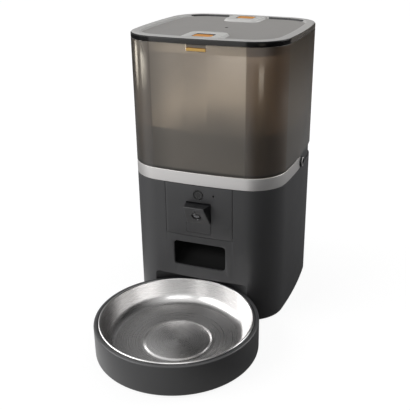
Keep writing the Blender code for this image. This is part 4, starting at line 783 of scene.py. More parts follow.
# Feed button. A round charcoal key, faintly dished, inside a gloss black light ring.
# It presses a switch on the control board behind the panel.
GLOSS_BLACK = moulded(
    "gloss_black_abs", (0.010, 0.010, 0.010), 0.16, grain=900.0, relief=0.02, tone=0.05, patch=0.06
)
ring = front_drum("feed_light_ring", [
    (0.0047, 0.0018), (0.0058, 0.0018), (0.0058, 0.0003), (0.0056, 0.0), (0.0050, 0.0), (0.0047, 0.0004),
], 0, FEED_Z, 64)
fitted(ring, GLOSS_BLACK, "base", ["button_light_ring"])
key = front_drum("feed_key_cap", [
    (0.0054, 0.0033), (0.0054, 0.0021), (0.0044, 0.0021), (0.0044, 0.0007), (0.0041, 0.0003),
    (0.0034, 0.00035), (0.0022, 0.0005), (0.0008, 0.00058),
], 0, FEED_Z, 64)
stem = front_drum("feed_key_stem", [(0.0044, 0.0065), (0.0044, 0.0030)], 0, FEED_Z, 48)
carved(key, stem, how="UNION")
fitted(key, CHARCOAL, "feed_key", ["feed_button"])
EPOXY_BOARD = moulded("solder_mask_board", (0.020, 0.110, 0.045), 0.35, grain=300.0, relief=0.3, tone=0.5)
refinished(EPOXY_BOARD, "control_board")
refinished(BLACK, "feed_switch")

# Camera pod. A charcoal plate, flat below and bent out above, over a black wedge that holds the gloss
# black lens barrel, its glass and the small light sensor above it.
POD_KINK = 0.1230
POD_TIP_Z = 0.1486
POD_REACH = 0.0157
POD_BASE_HALF = 0.0152
POD_TIP_HALF = 0.0121
POD_SKIN = 0.0014
POD_BACK_Y = CENTRE_Y - 0.0800
POD_FOOT_Z = 0.1108
LENS_BORE = 0.0061
kink = Vector((0, FRONT_Y, POD_KINK))
slope = Vector((0, -POD_REACH, POD_TIP_Z - POD_KINK))
pod_normal = Vector((0, -slope.z, slope.y)).normalized()


def side_cut(name, section, half):
    """A solid with one section in y and z, from x -half to +half, drawn in towards the pod's tip."""
    places = [-half + 2 * half * step / 12 for step in range(13)]
    made = skinned(name, [[(x, y, z) for y, z in section] for x in places], closed=False)
    for vert in made.data.vertices:
        out = min(1.0, max(0.0, (FRONT_Y - vert.co.y) / POD_REACH))
        vert.co.x *= 1 + (POD_TIP_HALF / POD_BASE_HALF - 1) * out
    return made


def softened(piece, width, steps=3, angle=30):
    """Rounds a simple piece's edges."""
    bevel = piece.modifiers.new("Edges", "BEVEL")
    bevel.width = width
    bevel.segments = steps
    bevel.limit_method = "ANGLE"
    bevel.angle_limit = math.radians(angle)
    bevel.harden_normals = False
    return baked(piece)


def pod_drum(name, share, levels, steps=48):
    """A round solid square to the pod's sloping face, its levels given as (radius, height)."""
    made = drum(name, levels, steps=steps)
    turn = Vector((0, 0, 1)).rotation_difference(pod_normal).to_matrix().to_4x4()
    made.data.transform(Matrix.Translation(kink + slope * share) @ turn)
    return made


LENS_SHARE = 0.46
SENSOR_SHARE = 0.82
tip = kink + slope
inner_kink = kink - pod_normal * POD_SKIN
inner_tip = tip - pod_normal * POD_SKIN
plate = side_cut("pod_plate", [
    (FRONT_Y, POD_FOOT_Z), (FRONT_Y + POD_SKIN, POD_FOOT_Z), (FRONT_Y + POD_SKIN, inner_kink.z),
    (inner_tip.y, inner_tip.z), (tip.y, tip.z), (FRONT_Y, POD_KINK),
], POD_BASE_HALF)
softened(plate, 0.0003)
carved(
    plate,
    pod_drum("lens_hole", LENS_SHARE, [
        (LENS_BORE, -0.006), (LENS_BORE, -0.0005), (0.0066, 0.0003), (0.0066, 0.006),
    ], 44),
    pod_drum("sensor_hole", SENSOR_SHARE, [(0.0015, -0.006), (0.0015, 0.006)], 24),
)
fitted(plate, CHARCOAL, "base", ["camera_cover"])
back_kink = kink - pod_normal * (POD_SKIN + GAP)
back_tip = tip - pod_normal * (POD_SKIN + GAP)
back_low = FRONT_Y + POD_SKIN + GAP
wedge = side_cut("pod_wedge", [
    (back_low, POD_FOOT_Z), (POD_BACK_Y, POD_FOOT_Z), (POD_BACK_Y, POD_TIP_Z), (FRONT_Y, POD_TIP_Z),
    (back_tip.y, back_tip.z), (back_low, back_kink.z),
], POD_BASE_HALF)
softened(wedge, 0.0003)
carved(
    wedge,
    pod_drum("lens_bore", LENS_SHARE, [(LENS_BORE, -0.0061), (LENS_BORE, 0.010)]),
    pod_drum("sensor_bore", SENSOR_SHARE, [(0.0016, -0.0033), (0.0016, 0.010)], 24),
)
fitted(wedge, BLACK, "base", ["camera_housing"])
barrel = pod_drum("lens_barrel", LENS_SHARE, [
    (0.0058, -0.0058), (0.0058, 0.0001), (0.0055, 0.0005), (0.0050, 0.0005), (0.0047, 0.0002),
    (0.0044, -0.0012), (0.0043, -0.0029), (0.0010, -0.0029),
], 64)
fitted(barrel, GLOSS_BLACK, "base", ["lens_ring"], 40)
LENS_GLASS = moulded(
    "coated_lens_glass", (0.006, 0.008, 0.020), 0.04, grain=200.0, relief=0.0, tone=0.2, patch=0.02,
    IOR=1.6, Coat_Weight=1.0, Coat_Roughness=0.02
)
dome = pod_drum("lens_glass", LENS_SHARE, [
    (0.0040, -0.0026), (0.0040, -0.0010), (0.0036, -0.0005), (0.0028, -0.0001), (0.0018, 0.0001),
    (0.0008, 0.0002), (0.0002, 0.0002),
], 48)
fitted(dome, LENS_GLASS, "base", ["camera_lens"], 60)
eye = pod_drum("light_sensor_eye", SENSOR_SHARE, [
    (0.0013, -0.0030), (0.0013, -0.0003), (0.0009, -0.0001), (0.0003, 0.0),
], 32)
fitted(eye, LENS_GLASS, "base", ["light_sensor_window"], 60)

# Chute. A black liner, wider and lower on its way out, that hangs below the dosing chamber and hands the
# food to the opening in the housing's front.
LINER_WALL = 0.0016
LINER_HALF = 0.0196
LINER_REAR = 0.0194
LINER_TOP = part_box("chute_liner")[1].z


def chute_level(z, front):
    """A level outline of the upper chute; its front is given as a distance before the body's centre."""
    loop = rounded_loop(-LINER_HALF, LINER_HALF, LINER_REAR, front, 0.003)
    return [(x, CENTRE_Y - y, z) for x, y in loop]


def chute_mouth(y, lift):
    """An upright outline of the chute's mouth at one y, lifted a little."""
    loop = rounded_loop(-MOUTH_HALF_WIDTH, MOUTH_HALF_WIDTH, MOUTH_LOW + lift, MOUTH_HIGH + lift, 0.003)
    return [(x, y, z) for x, z in loop]


def between(near, far, share):
    """The ring that lies a share of the way from one ring to another."""
    return [tuple(a + (b - a) * share for a, b in zip(p, q)) for p, q in zip(near, far)]


mouth_y = front_at(MOUTH_HALF_WIDTH, HOUSING_WALL + 0.0006)
top_ring = chute_level(LINER_TOP - 0.0001, 0.0446)
bend_ring = chute_level(0.1212, 0.0486)
throat_ring = chute_mouth(mouth_y + 0.006, 0.0006)
mouth_ring = chute_mouth(mouth_y, 0.0)
rings = [top_ring, bend_ring] + [between(bend_ring, throat_ring, s / 8) for s in range(1, 8)]
rings += [throat_ring, mouth_ring]
liner = skinned("chute_channel", rings, closed=False, capped=False)
thicken = liner.modifiers.new("Wall", "SOLIDIFY")
thicken.thickness = LINER_WALL
thicken.offset = 1.0
thicken.use_even_offset = True
baked(liner)
LINER_BLACK = moulded(
    "matt_black_liner", (0.006, 0.006, 0.006), 0.6, grain=1400.0, relief=0.1, Specular_IOR_Level=0.2
)
fitted(liner, LINER_BLACK, "base", ["chute_liner"], 40)

# Dosing works. Black chamber, pale silicone paddle wheel on a steel shaft, white nylon gear and pinion,
# and the gear motor with its steel shaft. Their solids stay, with a finish for each.
SILICONE = moulded(
    "pale_silicone", (0.56, 0.54, 0.50), 0.5, grain=600.0, relief=0.1, tone=0.08, Subsurface_Weight=0.15,
    Subsurface_Scale=0.002
)
NYLON = moulded("white_nylon", (0.66, 0.66, 0.64), 0.42, grain=800.0, relief=0.1, tone=0.05)
refinished(BLACK, "dosing_chamber")
refinished(SILICONE, "paddle_wheel")
refinished(ZINC, "rotor_shaft", "motor_shaft", "gear_motor")
refinished(NYLON, "rotor_gear", "drive_pinion")

# Funnel. A black moulding seated in the foot of the tank, from the tank's wall down to a round neck
# that stands in the mouth of the dosing chamber. It shows dark through the tank's lower third; higher
# up, its inner slope is painted pale as painted light, lighter the higher it goes.
FUNNEL_TOP = 0.2350
FUNNEL_OUTSIDE = 0.0027
FUNNEL_INSIDE = 0.0047
NECK_RADIUS = 0.0370
FUNNEL_WALL = 0.0020


def neck_ring(radius, z):
    """A round ring of the neck, with one point for each point of the body's plan."""
    points = []
    for x, y in plan(FUNNEL_OUTSIDE):
        turn = math.atan2(y - CENTRE_Y, x)
        points.append((radius * math.cos(turn), CHAMBER_Y + radius * math.sin(turn), z))
    return points


def wall_ring(inset, z):
    """A ring on the body's plan at one height."""
    return [(x, y, z) for x, y in plan(inset)]


outer_rings = [
    wall_ring(FUNNEL_OUTSIDE, FUNNEL_TOP - 0.0002), wall_ring(FUNNEL_OUTSIDE, FUNNEL_TOP - 0.003),
]
outer_rings += [
    between(outer_rings[1], neck_ring(NECK_RADIUS, 0.1810), s / 12) for s in range(1, 13)
]
outer_rings.append(neck_ring(NECK_RADIUS, 0.1702))
inner_rings = [neck_ring(NECK_RADIUS - FUNNEL_WALL, 0.1700), neck_ring(NECK_RADIUS - FUNNEL_WALL, 0.1818)]
inner_top = wall_ring(FUNNEL_INSIDE, FUNNEL_TOP - 0.0022)
inner_rings += [between(inner_rings[1], inner_top, s / 12) for s in range(1, 13)]
inner_rings += [wall_ring(FUNNEL_INSIDE, FUNNEL_TOP - 0.0003), wall_ring(0.0042, FUNNEL_TOP)]
funnel = skinned("food_funnel", outer_rings + inner_rings)
FUNNEL_BLACK = moulded("funnel_black", (0.012, 0.012, 0.012), 0.5, grain=900.0, relief=0.1)
FUNNEL_SLOPE_PAINTED_LIGHT = moulded("funnel_slope_painted_light", (0.012, 0.012, 0.012), 0.5, grain=900.0, relief=0.1)


def skin_inside(finish):
    """A moulded finish's tree, its place split into X, Y and Z, and the socket that takes its colour."""
    tree = finish.node_tree
    skin = next(node for node in tree.nodes if node.type == "GROUP")
    place = skin.inputs["Vector"].links[0].from_socket
    return tree, wire(tree, "ShaderNodeSeparateXYZ", ((0, place),)), skin.inputs["Colour"]


def ranged(tree, value, low=0.0, high=1.0, to_low=0.0, to_high=1.0, how="SMOOTHSTEP"):
    """A value's way from low to high, brought to its way between two others."""
    return wire(tree, "ShaderNodeMapRange", (
        ("Value", value), ("From Min", low), ("From Max", high), ("To Min", to_low), ("To Max", to_high),
    ), interpolation_type=how).outputs["Result"]


def mixed(tree, mask, under, over):
    """One colour laid over another as far as a mask says; a written colour is red, green and blue."""
    links = [("Factor", mask)]
    for key, colour in (("A", under), ("B", over)):
        links.append((key, (*colour, 1.0) if isinstance(colour, tuple) else colour))
    return wire(tree, "ShaderNodeMix", links, data_type="RGBA").outputs["Result"]


# Painted light: the funnel's inner slope turns from black to pale grey between the heights below.
tree, where, skin_colour = skin_inside(FUNNEL_SLOPE_PAINTED_LIGHT)
painted_light_rise = ranged(tree, where.outputs["Z"], 0.2020, 0.2160)
tree.links.new(mixed(tree, painted_light_rise, (0.012, 0.012, 0.012), (0.85, 0.80, 0.73)), skin_colour)
fitted(funnel, FUNNEL_BLACK, "tank", ["tank_funnel"], 40)
funnel.data.materials.append(FUNNEL_SLOPE_PAINTED_LIGHT)
for face in funnel.data.polygons:
    if face.normal.z > 0.1 and max(funnel.data.vertices[i].co.z for i in face.vertices) < FUNNEL_TOP - 0.001:
        face.material_index = 1

# Tank. One clear smoke-brown polycarbonate moulding: a bowed wall, a shoulder that rests on the collar
# and a spigot that drops inside it, with a slot for each latch tongue and a notch for each button.
TANK_LOW = 0.1861
TANK_HIGH = 0.3309
TANK_WALL = 0.0024
SHOULDER = 0.0024
SPIGOT_OUTSIDE = 0.0056
SPIGOT_INSIDE = 0.0078
SPIGOT_LOW = TANK_LOW - 0.0160
tank = moulding("food_tank", [
    (0.0, TANK_LOW, 0.0008), (0.0, TANK_HIGH, 0.0003), (TANK_WALL, TANK_HIGH, 0.0003),
    (TANK_WALL, TANK_LOW + SHOULDER, 0.0012), (SPIGOT_INSIDE, TANK_LOW + SHOULDER, 0.0004),
    (SPIGOT_INSIDE, SPIGOT_LOW, 0.0004), (SPIGOT_OUTSIDE, SPIGOT_LOW, 0.0004),
    (SPIGOT_OUTSIDE, TANK_LOW, 0.0),
])
TONGUE_LOW = 0.3239
TONGUE_HIGH = 0.3271
TONGUE_HALF = 0.0113
TONGUE_ROOM = 0.0004
NOTCH_HALF = 0.0083
tools = []
for side in (-1, 1):
    notch_x = side * (HALF_WIDTH - 0.0067)
    tools.append(block(
        "button_notch", notch_x - 0.005, notch_x + 0.005, BUTTON_Y - NOTCH_HALF, BUTTON_Y + NOTCH_HALF,
        0.0005, ((0.0, 0.150), (0.0, TANK_LOW - 0.0003)), 2
    ))
    slot_y = CENTRE_Y + side * (HALF_DEPTH - TANK_WALL / 2)
    half = TONGUE_HALF + TONGUE_ROOM
    tools.append(block(
        "tongue_slot", -half, half, TONGUE_LOW - TONGUE_ROOM, TANK_HIGH + 0.01, 0.0012,
        ((0.0, slot_y - 0.004), (0.0, slot_y + 0.004)), 4, upright=True
    ))
carved(tank, *tools)


def smoked_clear():
    """Frosted smoke-brown plastic, clear to lamp rays. Its colour carries painted shade: darker in the
    corners and on the sides, and a little darker at its foot, at its left end and below an arch over the
    funnel."""
    finish, tree, shader, place = blank_finish("smoked_polycarbonate")
    shader.inputs["Transmission Weight"].default_value = 0.88
    shader.inputs["IOR"].default_value = 1.45
    shader.inputs["Specular IOR Level"].default_value = 0.2
    shader.inputs["Coat Roughness"].default_value = 0.12
    where = wire(tree, "ShaderNodeSeparateXYZ", ((0, place),))
    along_x, along_y, height = (where.outputs[axis] for axis in "XYZ")
    across = maths(tree, "ABSOLUTE", along_x)
    corner_x = corner_centre()[0]
    # Painted shade: the corners are painted darker than the front, darker still towards the sides, and the
    # sides darker again.
    turned = ranged(tree, across, corner_x + 0.0042, corner_x + 0.0058)
    beside = ranged(tree, along_y, CENTRE_Y - 0.0606, CENTRE_Y - 0.0582)
    outer = ranged(tree, across, 0.086, 0.090)
    painted_corner_spread = ranged(tree, across, 0.062, 0.087)
    corner = mixed(tree, painted_corner_spread, (0.28, 0.215, 0.158), (0.13, 0.092, 0.065))
    painted_corner_tone = mixed(tree, turned, (0.73, 0.675, 0.61), corner)
    tint = mixed(tree, maths(tree, "MULTIPLY", beside, outer), painted_corner_tone, (0.15, 0.125, 0.100))
    # Painted shade: darker at the foot where the tank meets the band, towards the left end, and below an
    # arch where the funnel's shadow falls.
    foot = ranged(tree, height, TANK_LOW + 0.0008, TANK_LOW + 0.0050, 0.20)
    flow = noise(tree, place, 16.0, 1.0)
    painted_left_shade = ranged(tree, along_x, -0.066, -0.026, 0.50)
    off_middle = maths(tree, "SUBTRACT", along_x, 0.005)
    squared = maths(tree, "MULTIPLY", off_middle, off_middle)
    arched = maths(tree, "MULTIPLY_ADD", squared, 5.0, height)
    painted_funnel_shadow = ranged(tree, arched, 0.226, 0.290, 0.64)
    depth = ranged(tree, flow, to_low=0.97, to_high=1.03, how="LINEAR")
    even = maths(tree, "MULTIPLY", painted_left_shade, depth)
    lower = maths(tree, "MULTIPLY", painted_funnel_shadow, foot)
    shade = wire(tree, "ShaderNodeVectorMath", (
        (0, tint), ("Scale", maths(tree, "MULTIPLY", even, lower)),
    ), operation="SCALE")
    gloss = ranged(tree, flow, to_low=0.34, to_high=0.40, how="LINEAR")
    polish = ranged(tree, turned, to_low=0.25, how="LINEAR")
    feed(tree, shader, Base_Color=shade.outputs[0], Roughness=gloss, Coat_Weight=polish)
    path = tree.nodes.new("ShaderNodeLightPath")
    clear = wire(tree, "ShaderNodeBsdfTransparent", (("Color", (0.97, 0.92, 0.84, 1.0)),))
    mix = wire(tree, "ShaderNodeMixShader", (
        (0, path.outputs["Is Shadow Ray"]), (1, shader.outputs["BSDF"]), (2, clear.outputs["BSDF"]),
    ))
    feed(tree, tree.nodes["Material Output"], Surface=mix.outputs["Shader"])
    return finish


SMOKE = smoked_clear()
fitted(tank, SMOKE, "tank", ["tank"])

# Lid. Grey cover with a flat raised rim, a dropped deck with a small dimple in its middle, and a
# raised pad at the front and back, each with the slot for a latch slider. The deck's darker grey and
# the black of the slot walls, the dimple and the rear step are painted shade; the pads' lighter grey
# is painted light.
LID_TOP = 0.3376
LID_CUT_TOP = 0.345
DECK_Z = 0.3351
RIM_WIDTH = 0.0110
PAD_HALF = 0.0215
PAD_START = 0.0500
SLIDER_Y = 0.0760
SLIDER_HALF = 0.0108
SLIDER_LENGTH = 0.0140
SLIDER_TRAVEL = 0.0045
LID_RIM_GREY, LID_DECK_SHADED_GREY, LID_PAD_LIT_GREY = (
    moulded(name, colour, roughness, grain=grain, relief=relief, tone=tone, patch=0.08)
    for name, colour, roughness, grain, relief, tone in (
        ("lid_grey_satin", (0.48, 0.475, 0.465), 0.36, 1600.0, 0.08, 0.04),
        ("lid_grey_textured_painted_shade", (0.265, 0.256, 0.247), 0.55, 2200.0, 0.25, 0.05),
        ("lid_grey_pads_painted_light", (0.60, 0.595, 0.58), 0.36, 1600.0, 0.08, 0.04),
    )
)
lid = slab("lid_top", [
    (0.0065, 0.3335), (0.0065, 0.3368), (0.0010, 0.3368), (0.0008, 0.3369), (0.0008, 0.3370),
    (0.0010, 0.33715), (0.0014, 0.33725), (0.0024, 0.33738), (0.0042, 0.33755),
    (RIM_WIDTH - 0.0010, LID_TOP), (RIM_WIDTH, LID_TOP - 0.0002), (RIM_WIDTH + 0.0004, LID_TOP - 0.0007),
    (RIM_WIDTH + 0.0008, DECK_Z + 0.0006), (RIM_WIDTH + 0.0014, DECK_Z + 0.00015),
    (RIM_WIDTH + 0.0024, DECK_Z),
])
tools = []
for side in (-1, 1):
    pad_front, pad_rear = sorted((CENTRE_Y + side * PAD_START, CENTRE_Y + side * (HALF_DEPTH - 0.004)))
    pad = block(f"latch_pad_{side}", -PAD_HALF, PAD_HALF, pad_front, pad_rear, 0.009, (
        (0.0030, DECK_Z - 0.0008), (0.0022, DECK_Z), (0.0004, LID_TOP - 0.0004),
        (0.0001, LID_TOP - 0.0001), (-0.0004, LID_TOP),
    ))
    carved(lid, pad, how="UNION")
    outer_end = SLIDER_Y + SLIDER_LENGTH / 2 + TONGUE_ROOM
    inner_end = SLIDER_Y - SLIDER_LENGTH / 2 - SLIDER_TRAVEL - TONGUE_ROOM
    near, far = sorted((side * outer_end, side * inner_end))
    half = SLIDER_HALF + TONGUE_ROOM
    tools.append(block("slider_slot", -half, half, CENTRE_Y + near, CENTRE_Y + far, 0.003, (
        (0.0, 0.320), (0.0, LID_TOP - 0.0005), (0.0002, LID_TOP - 0.00015),
        (0.0006, LID_TOP), (0.0006, LID_CUT_TOP),
    )))
tools.append(drum("middle_dimple", [
    (0.0006, DECK_Z - 0.0014), (0.0017, DECK_Z - 0.0012), (0.0021, DECK_Z), (0.0021, LID_CUT_TOP),
], (0.0, CENTRE_Y), 32))
carved(lid, *tools)
fitted(lid, LID_RIM_GREY, "lid", ["lid_cover"])
for finish in (LID_DECK_SHADED_GREY, BLACK, LID_PAD_LIT_GREY):
    lid.data.materials.append(finish)
rear_wall_y = CENTRE_Y + HALF_DEPTH - 0.024
SLOT_MARGIN = 0.0012
PAD_MARGIN = 0.004
slot_near = SLIDER_Y - SLIDER_LENGTH / 2 - SLIDER_TRAVEL - SLOT_MARGIN
slot_far = SLIDER_Y + SLIDER_LENGTH / 2 + SLOT_MARGIN
# Painted shade on the deck and in black on the slot walls, the dimple and the rear step; painted light on
# the pads.
for face in lid.data.polygons:
    middle = face.center
    along = abs(middle.y - CENTRE_Y)
    across = abs(middle.x)
    by_slider = slot_near < along < slot_far and across < SLIDER_HALF + SLOT_MARGIN
    in_slot = by_slider and middle.z < LID_TOP - 0.0001
    in_dimple = math.hypot(middle.x, middle.y - CENTRE_Y) < 0.0024 and middle.z < DECK_Z - 0.0001
    at_rear = middle.z > DECK_Z - 0.0005 and middle.y > rear_wall_y and face.normal.y < -0.4
    if face.normal.z > 0.9 and abs(middle.z - DECK_Z) < 0.0003:
        face.material_index = 1
    elif in_slot or in_dimple or (at_rear and across > PAD_HALF + PAD_MARGIN):
        face.material_index = 2
    elif across < PAD_HALF + PAD_MARGIN and 0.045 < along < 0.0835 and middle.z > DECK_Z:
        face.material_index = 3

# Lid frame. The gloss black ring below the grey cover, with the plug wall that stands inside the tank.
# A smoke-coloured silicone sleeve is stretched round the plug and seals against the tank's wall.
RING_LOW = 0.3312
RING_HIGH = 0.3365
PLUG_LOW = 0.3210
SLEEVE_HIGH = 0.3309
ring = moulding("lid_ring", [
    (0.0, RING_LOW, 0.0006), (0.0, RING_HIGH, 0.0010), (0.0062, RING_HIGH, 0.0002),
    (0.0062, PLUG_LOW, 0.0002), (0.0040, PLUG_LOW, 0.0002), (0.0040, RING_LOW, 0.0002),
], 5)
seal = moulding("lid_sleeve_seal", [
    (0.0027, PLUG_LOW, 0.0003), (0.0027, SLEEVE_HIGH, 0.0003),
    (0.0037, SLEEVE_HIGH, 0.0002), (0.0037, PLUG_LOW, 0.0002),
])
for side in (-1, 1):
    pass_y = CENTRE_Y + side * (HALF_DEPTH - 0.004)
    half = TONGUE_HALF + TONGUE_ROOM
    for piece in (ring, seal):
        carved(piece, block(
            "tongue_pass", -half, half, TONGUE_LOW - TONGUE_ROOM, TONGUE_HIGH + TONGUE_ROOM, 0.0004,
            ((0.0, pass_y - 0.01), (0.0, pass_y + 0.01)), 3, upright=True
        ))
RING_BLACK = moulded(
    "gloss_black_ring", (0.010, 0.010, 0.010), 0.18, grain=900.0, relief=0.02, tone=0.05, patch=0.06,
    Specular_IOR_Level=0.15
)
# Painted reflection: the ring's front and sides are painted a lighter grey than its near-black corners.
tree, where, skin_colour = skin_inside(RING_BLACK)
corner_x = corner_centre()[0]
turned = ranged(tree, maths(tree, "ABSOLUTE", where.outputs["X"]), corner_x + 0.0026, corner_x + 0.0070)
beside = ranged(tree, where.outputs["Y"], CENTRE_Y - 0.0620, CENTRE_Y - 0.0540)
painted_corner_tone = mixed(tree, turned, (0.075, 0.074, 0.073), (0.006, 0.006, 0.006))
tree.links.new(mixed(tree, beside, painted_corner_tone, (0.085, 0.078, 0.070)), skin_colour)
fitted(ring, RING_BLACK, "lid", ["lid_frame"])
SEAL_SMOKE = moulded("smoke_silicone", (0.28, 0.255, 0.22), 0.5, grain=600.0, relief=0.1, tone=0.05)
fitted(seal, SEAL_SMOKE, "lid", ["lid_seal"])
refinished(NYLON, "desiccant_holder", "desiccant_cap")
refinished(BLACK, "latch_retainer_front", "latch_retainer_rear")

# Latch sliders. Amber ABS: a round-cornered grip in each pad's slot, a neck and a flat tongue that shows
# in the slot of the tank's wall just under the frame.
AMBER = moulded(
    "amber_abs", (0.62, 0.26, 0.050), 0.42, grain=1500.0, relief=0.08, tone=0.08, patch=0.10
)
# The tongue's end is smoother, and its brighter gold is painted light.
AMBER_LIT_END = moulded(
    "amber_abs_smooth_painted_light", (0.90, 0.56, 0.16), 0.28, grain=1500.0, relief=0.04, tone=0.08, patch=0.06
)
for side, where in ((-1, "front"), (1, "rear")):
    middle = CENTRE_Y + side * SLIDER_Y
    grip_front = middle - SLIDER_LENGTH / 2
    grip_rear = middle + SLIDER_LENGTH / 2
    grip = block(f"lid_latch_{where}", -SLIDER_HALF, SLIDER_HALF, grip_front, grip_rear, 0.003, (
        (0.0, LID_TOP - 0.0025), (0.0, LID_TOP - 0.0009), (-0.0002, LID_TOP - 0.0004),
        (-0.0006, LID_TOP - 0.00015), (-0.0012, LID_TOP - 0.0001),
    ), rounding=0.5)
    neck = block("latch_neck", -0.008, 0.008, middle - 0.003, middle + 0.003, 0.0005, (
        (0.0, TONGUE_HIGH - 0.0003), (0.0, LID_TOP - 0.0022),
    ), 2)
    reach = HALF_DEPTH - (BOW_RADIUS - math.sqrt(BOW_RADIUS ** 2 - TONGUE_HALF ** 2)) - 0.0003
    near, far = sorted((CENTRE_Y + side * (SLIDER_Y - SLIDER_LENGTH / 2), CENTRE_Y + side * reach))
    tongue = block("latch_tongue", -TONGUE_HALF, TONGUE_HALF, TONGUE_LOW, TONGUE_HIGH, 0.0011, (
        (-0.0004, near), (0.0, near + 0.0005), (0.0, far - 0.0005), (-0.0004, far),
    ), 4, upright=True, rounding=0.0)
    carved(grip, neck, how="UNION")
    carved(grip, tongue, how="UNION")
    fitted(grip, AMBER, f"latch_{where}", [f"latch_slider_{where}"])
    grip.data.materials.append(AMBER_LIT_END)
    for face in grip.data.polygons:
        end_y = side * (face.center.y - CENTRE_Y)
        if face.center.z < TONGUE_HIGH + 0.0001 and end_y > reach - 0.0007:
            face.material_index = 1

# Steel bowl. Spun from thin stainless sheet: a rolled lip, a leaning wall, a round bend and a floor that
# is a shallow cone with a raised disc in its middle. Its satin finish is turned round its axis.
LIP_RADIUS = 0.0884
LIP_HEIGHT = 0.0384
LIP_WIDTH = 0.0028
LIP_DROP = 0.0012
BOWL_FOOT = 0.0762
BOWL_FLOOR = 0.0057
BOWL_BEND = 0.014
BOWL_DISH = math.radians(9)
DISC_EDGE = 0.0404
STEEL_GAUGE = 0.0008


def bowl_line(grown, steps=14):
    """The bowl's inner line from the lip down to the raised disc, moved outwards by grown."""
    lip = LIP_RADIUS - LIP_WIDTH
    lip_z = LIP_HEIGHT - LIP_DROP
    lean = math.atan2(lip - BOWL_FOOT, lip_z - BOWL_FLOOR)
    rise = math.tan(BOWL_DISH)
    flat = BOWL_FOOT - BOWL_BEND * (math.cos(lean) - math.sin(BOWL_DISH)) - DISC_EDGE
    up = rise * flat + BOWL_BEND * (math.cos(BOWL_DISH) - math.sin(lean))
    up /= math.cos(lean) - rise * math.sin(lean)
    centre_r = BOWL_FOOT + up * math.sin(lean) - BOWL_BEND * math.cos(lean)
    centre_z = BOWL_FLOOR + up * math.cos(lean) + BOWL_BEND * math.sin(lean)
    points = [(lip + grown / math.cos(lean), lip_z)]
    for step in range(steps + 1):
        turn = -lean - (math.pi / 2 - lean - BOWL_DISH) * step / steps
        radius = BOWL_BEND + grown
        points.append((centre_r + radius * math.cos(turn), centre_z + radius * math.sin(turn)))
    bend_end = centre_r + BOWL_BEND * math.sin(BOWL_DISH)
    for step in range(1, 8):
        share = 1 - step / 8
        height = rise * (bend_end - DISC_EDGE) * share
        points.append((DISC_EDGE + (bend_end - DISC_EDGE) * share, BOWL_FLOOR + height - grown))
    return points


def disc_line(down):
    """The floor's raised disc, from its edge to the middle."""
    floor = BOWL_FLOOR - down
    top = floor + 0.0012
    return [
        (DISC_EDGE, floor), (0.0396, floor + 0.0001), (0.0388, floor + 0.0004), (0.0380, floor + 0.0008),
        (0.0372, floor + 0.0011), (0.0364, top), (0.0200, top), (0.0060, top), (0.0004, top),
    ]


inner = bowl_line(0)
outer = bowl_line(STEEL_GAUGE)
bead = LIP_RADIUS - LIP_WIDTH / 2
lip = [
    (bead + LIP_WIDTH / 2 * math.cos(t), LIP_HEIGHT - LIP_DROP * (1 - math.sin(t)))
    for t in (math.pi * (1 - step / 12) for step in range(1, 13))
] + [(LIP_RADIUS, LIP_HEIGHT - LIP_DROP - 0.0002), (LIP_RADIUS - 0.0002, LIP_HEIGHT - LIP_DROP - 0.0004)]
bowl = drum("steel_food_bowl", (
    list(reversed(disc_line(0))) + list(reversed(inner)) + lip
    + [(outer[0][0] + 0.0002, LIP_HEIGHT - LIP_DROP - 0.0004)] + outer[1:] + disc_line(STEEL_GAUGE)
), (0.0, holder_y), 144)


def spun_steel():
    """Stainless steel with fine turning marks round the bowl's own axis."""
    finish, tree, shader, place = blank_finish("satin_spun_steel")
    shader.inputs["Metallic"].default_value = 1.0
    shader.inputs["Anisotropic"].default_value = 0.6
    shader.inputs["Anisotropic Rotation"].default_value = 0.25
    around = wire(tree, "ShaderNodeTangent", direction_type="RADIAL", axis="Z")
    centred = wire(tree, "ShaderNodeMapping", (("Vector", place), ("Location", (0.0, -holder_y, 0.0))))
    parts = wire(tree, "ShaderNodeSeparateXYZ", ((0, centred.outputs[0]),))
    flat = vector(tree, X=parts.outputs["X"], Y=parts.outputs["Y"])
    away = wire(tree, "ShaderNodeVectorMath", ((0, flat),), operation="LENGTH")
    turned = vector(tree, X=away.outputs["Value"], Y=parts.outputs["Z"])
    marks = noise(tree, turned, 2600.0, 1.0)
    cloud = noise(tree, place, 14.0, 2.0)
    gloss = ranged(tree, maths(tree, "ADD", marks, cloud), 0.4, 1.6, 0.25, 0.30, how="LINEAR")
    tone = mixed(tree, cloud, (0.70, 0.69, 0.685), (0.76, 0.75, 0.745))
    bump = wire(tree, "ShaderNodeBump", (("Height", marks), ("Strength", 0.006), ("Distance", 0.0001)))
    feed(
        tree, shader, Base_Color=tone, Roughness=gloss, Normal=bump.outputs["Normal"],
        Tangent=around.outputs["Tangent"]
    )
    return finish


STEEL = spun_steel()
fitted(bowl, STEEL, "bowl", ["steel_bowl"], 50)

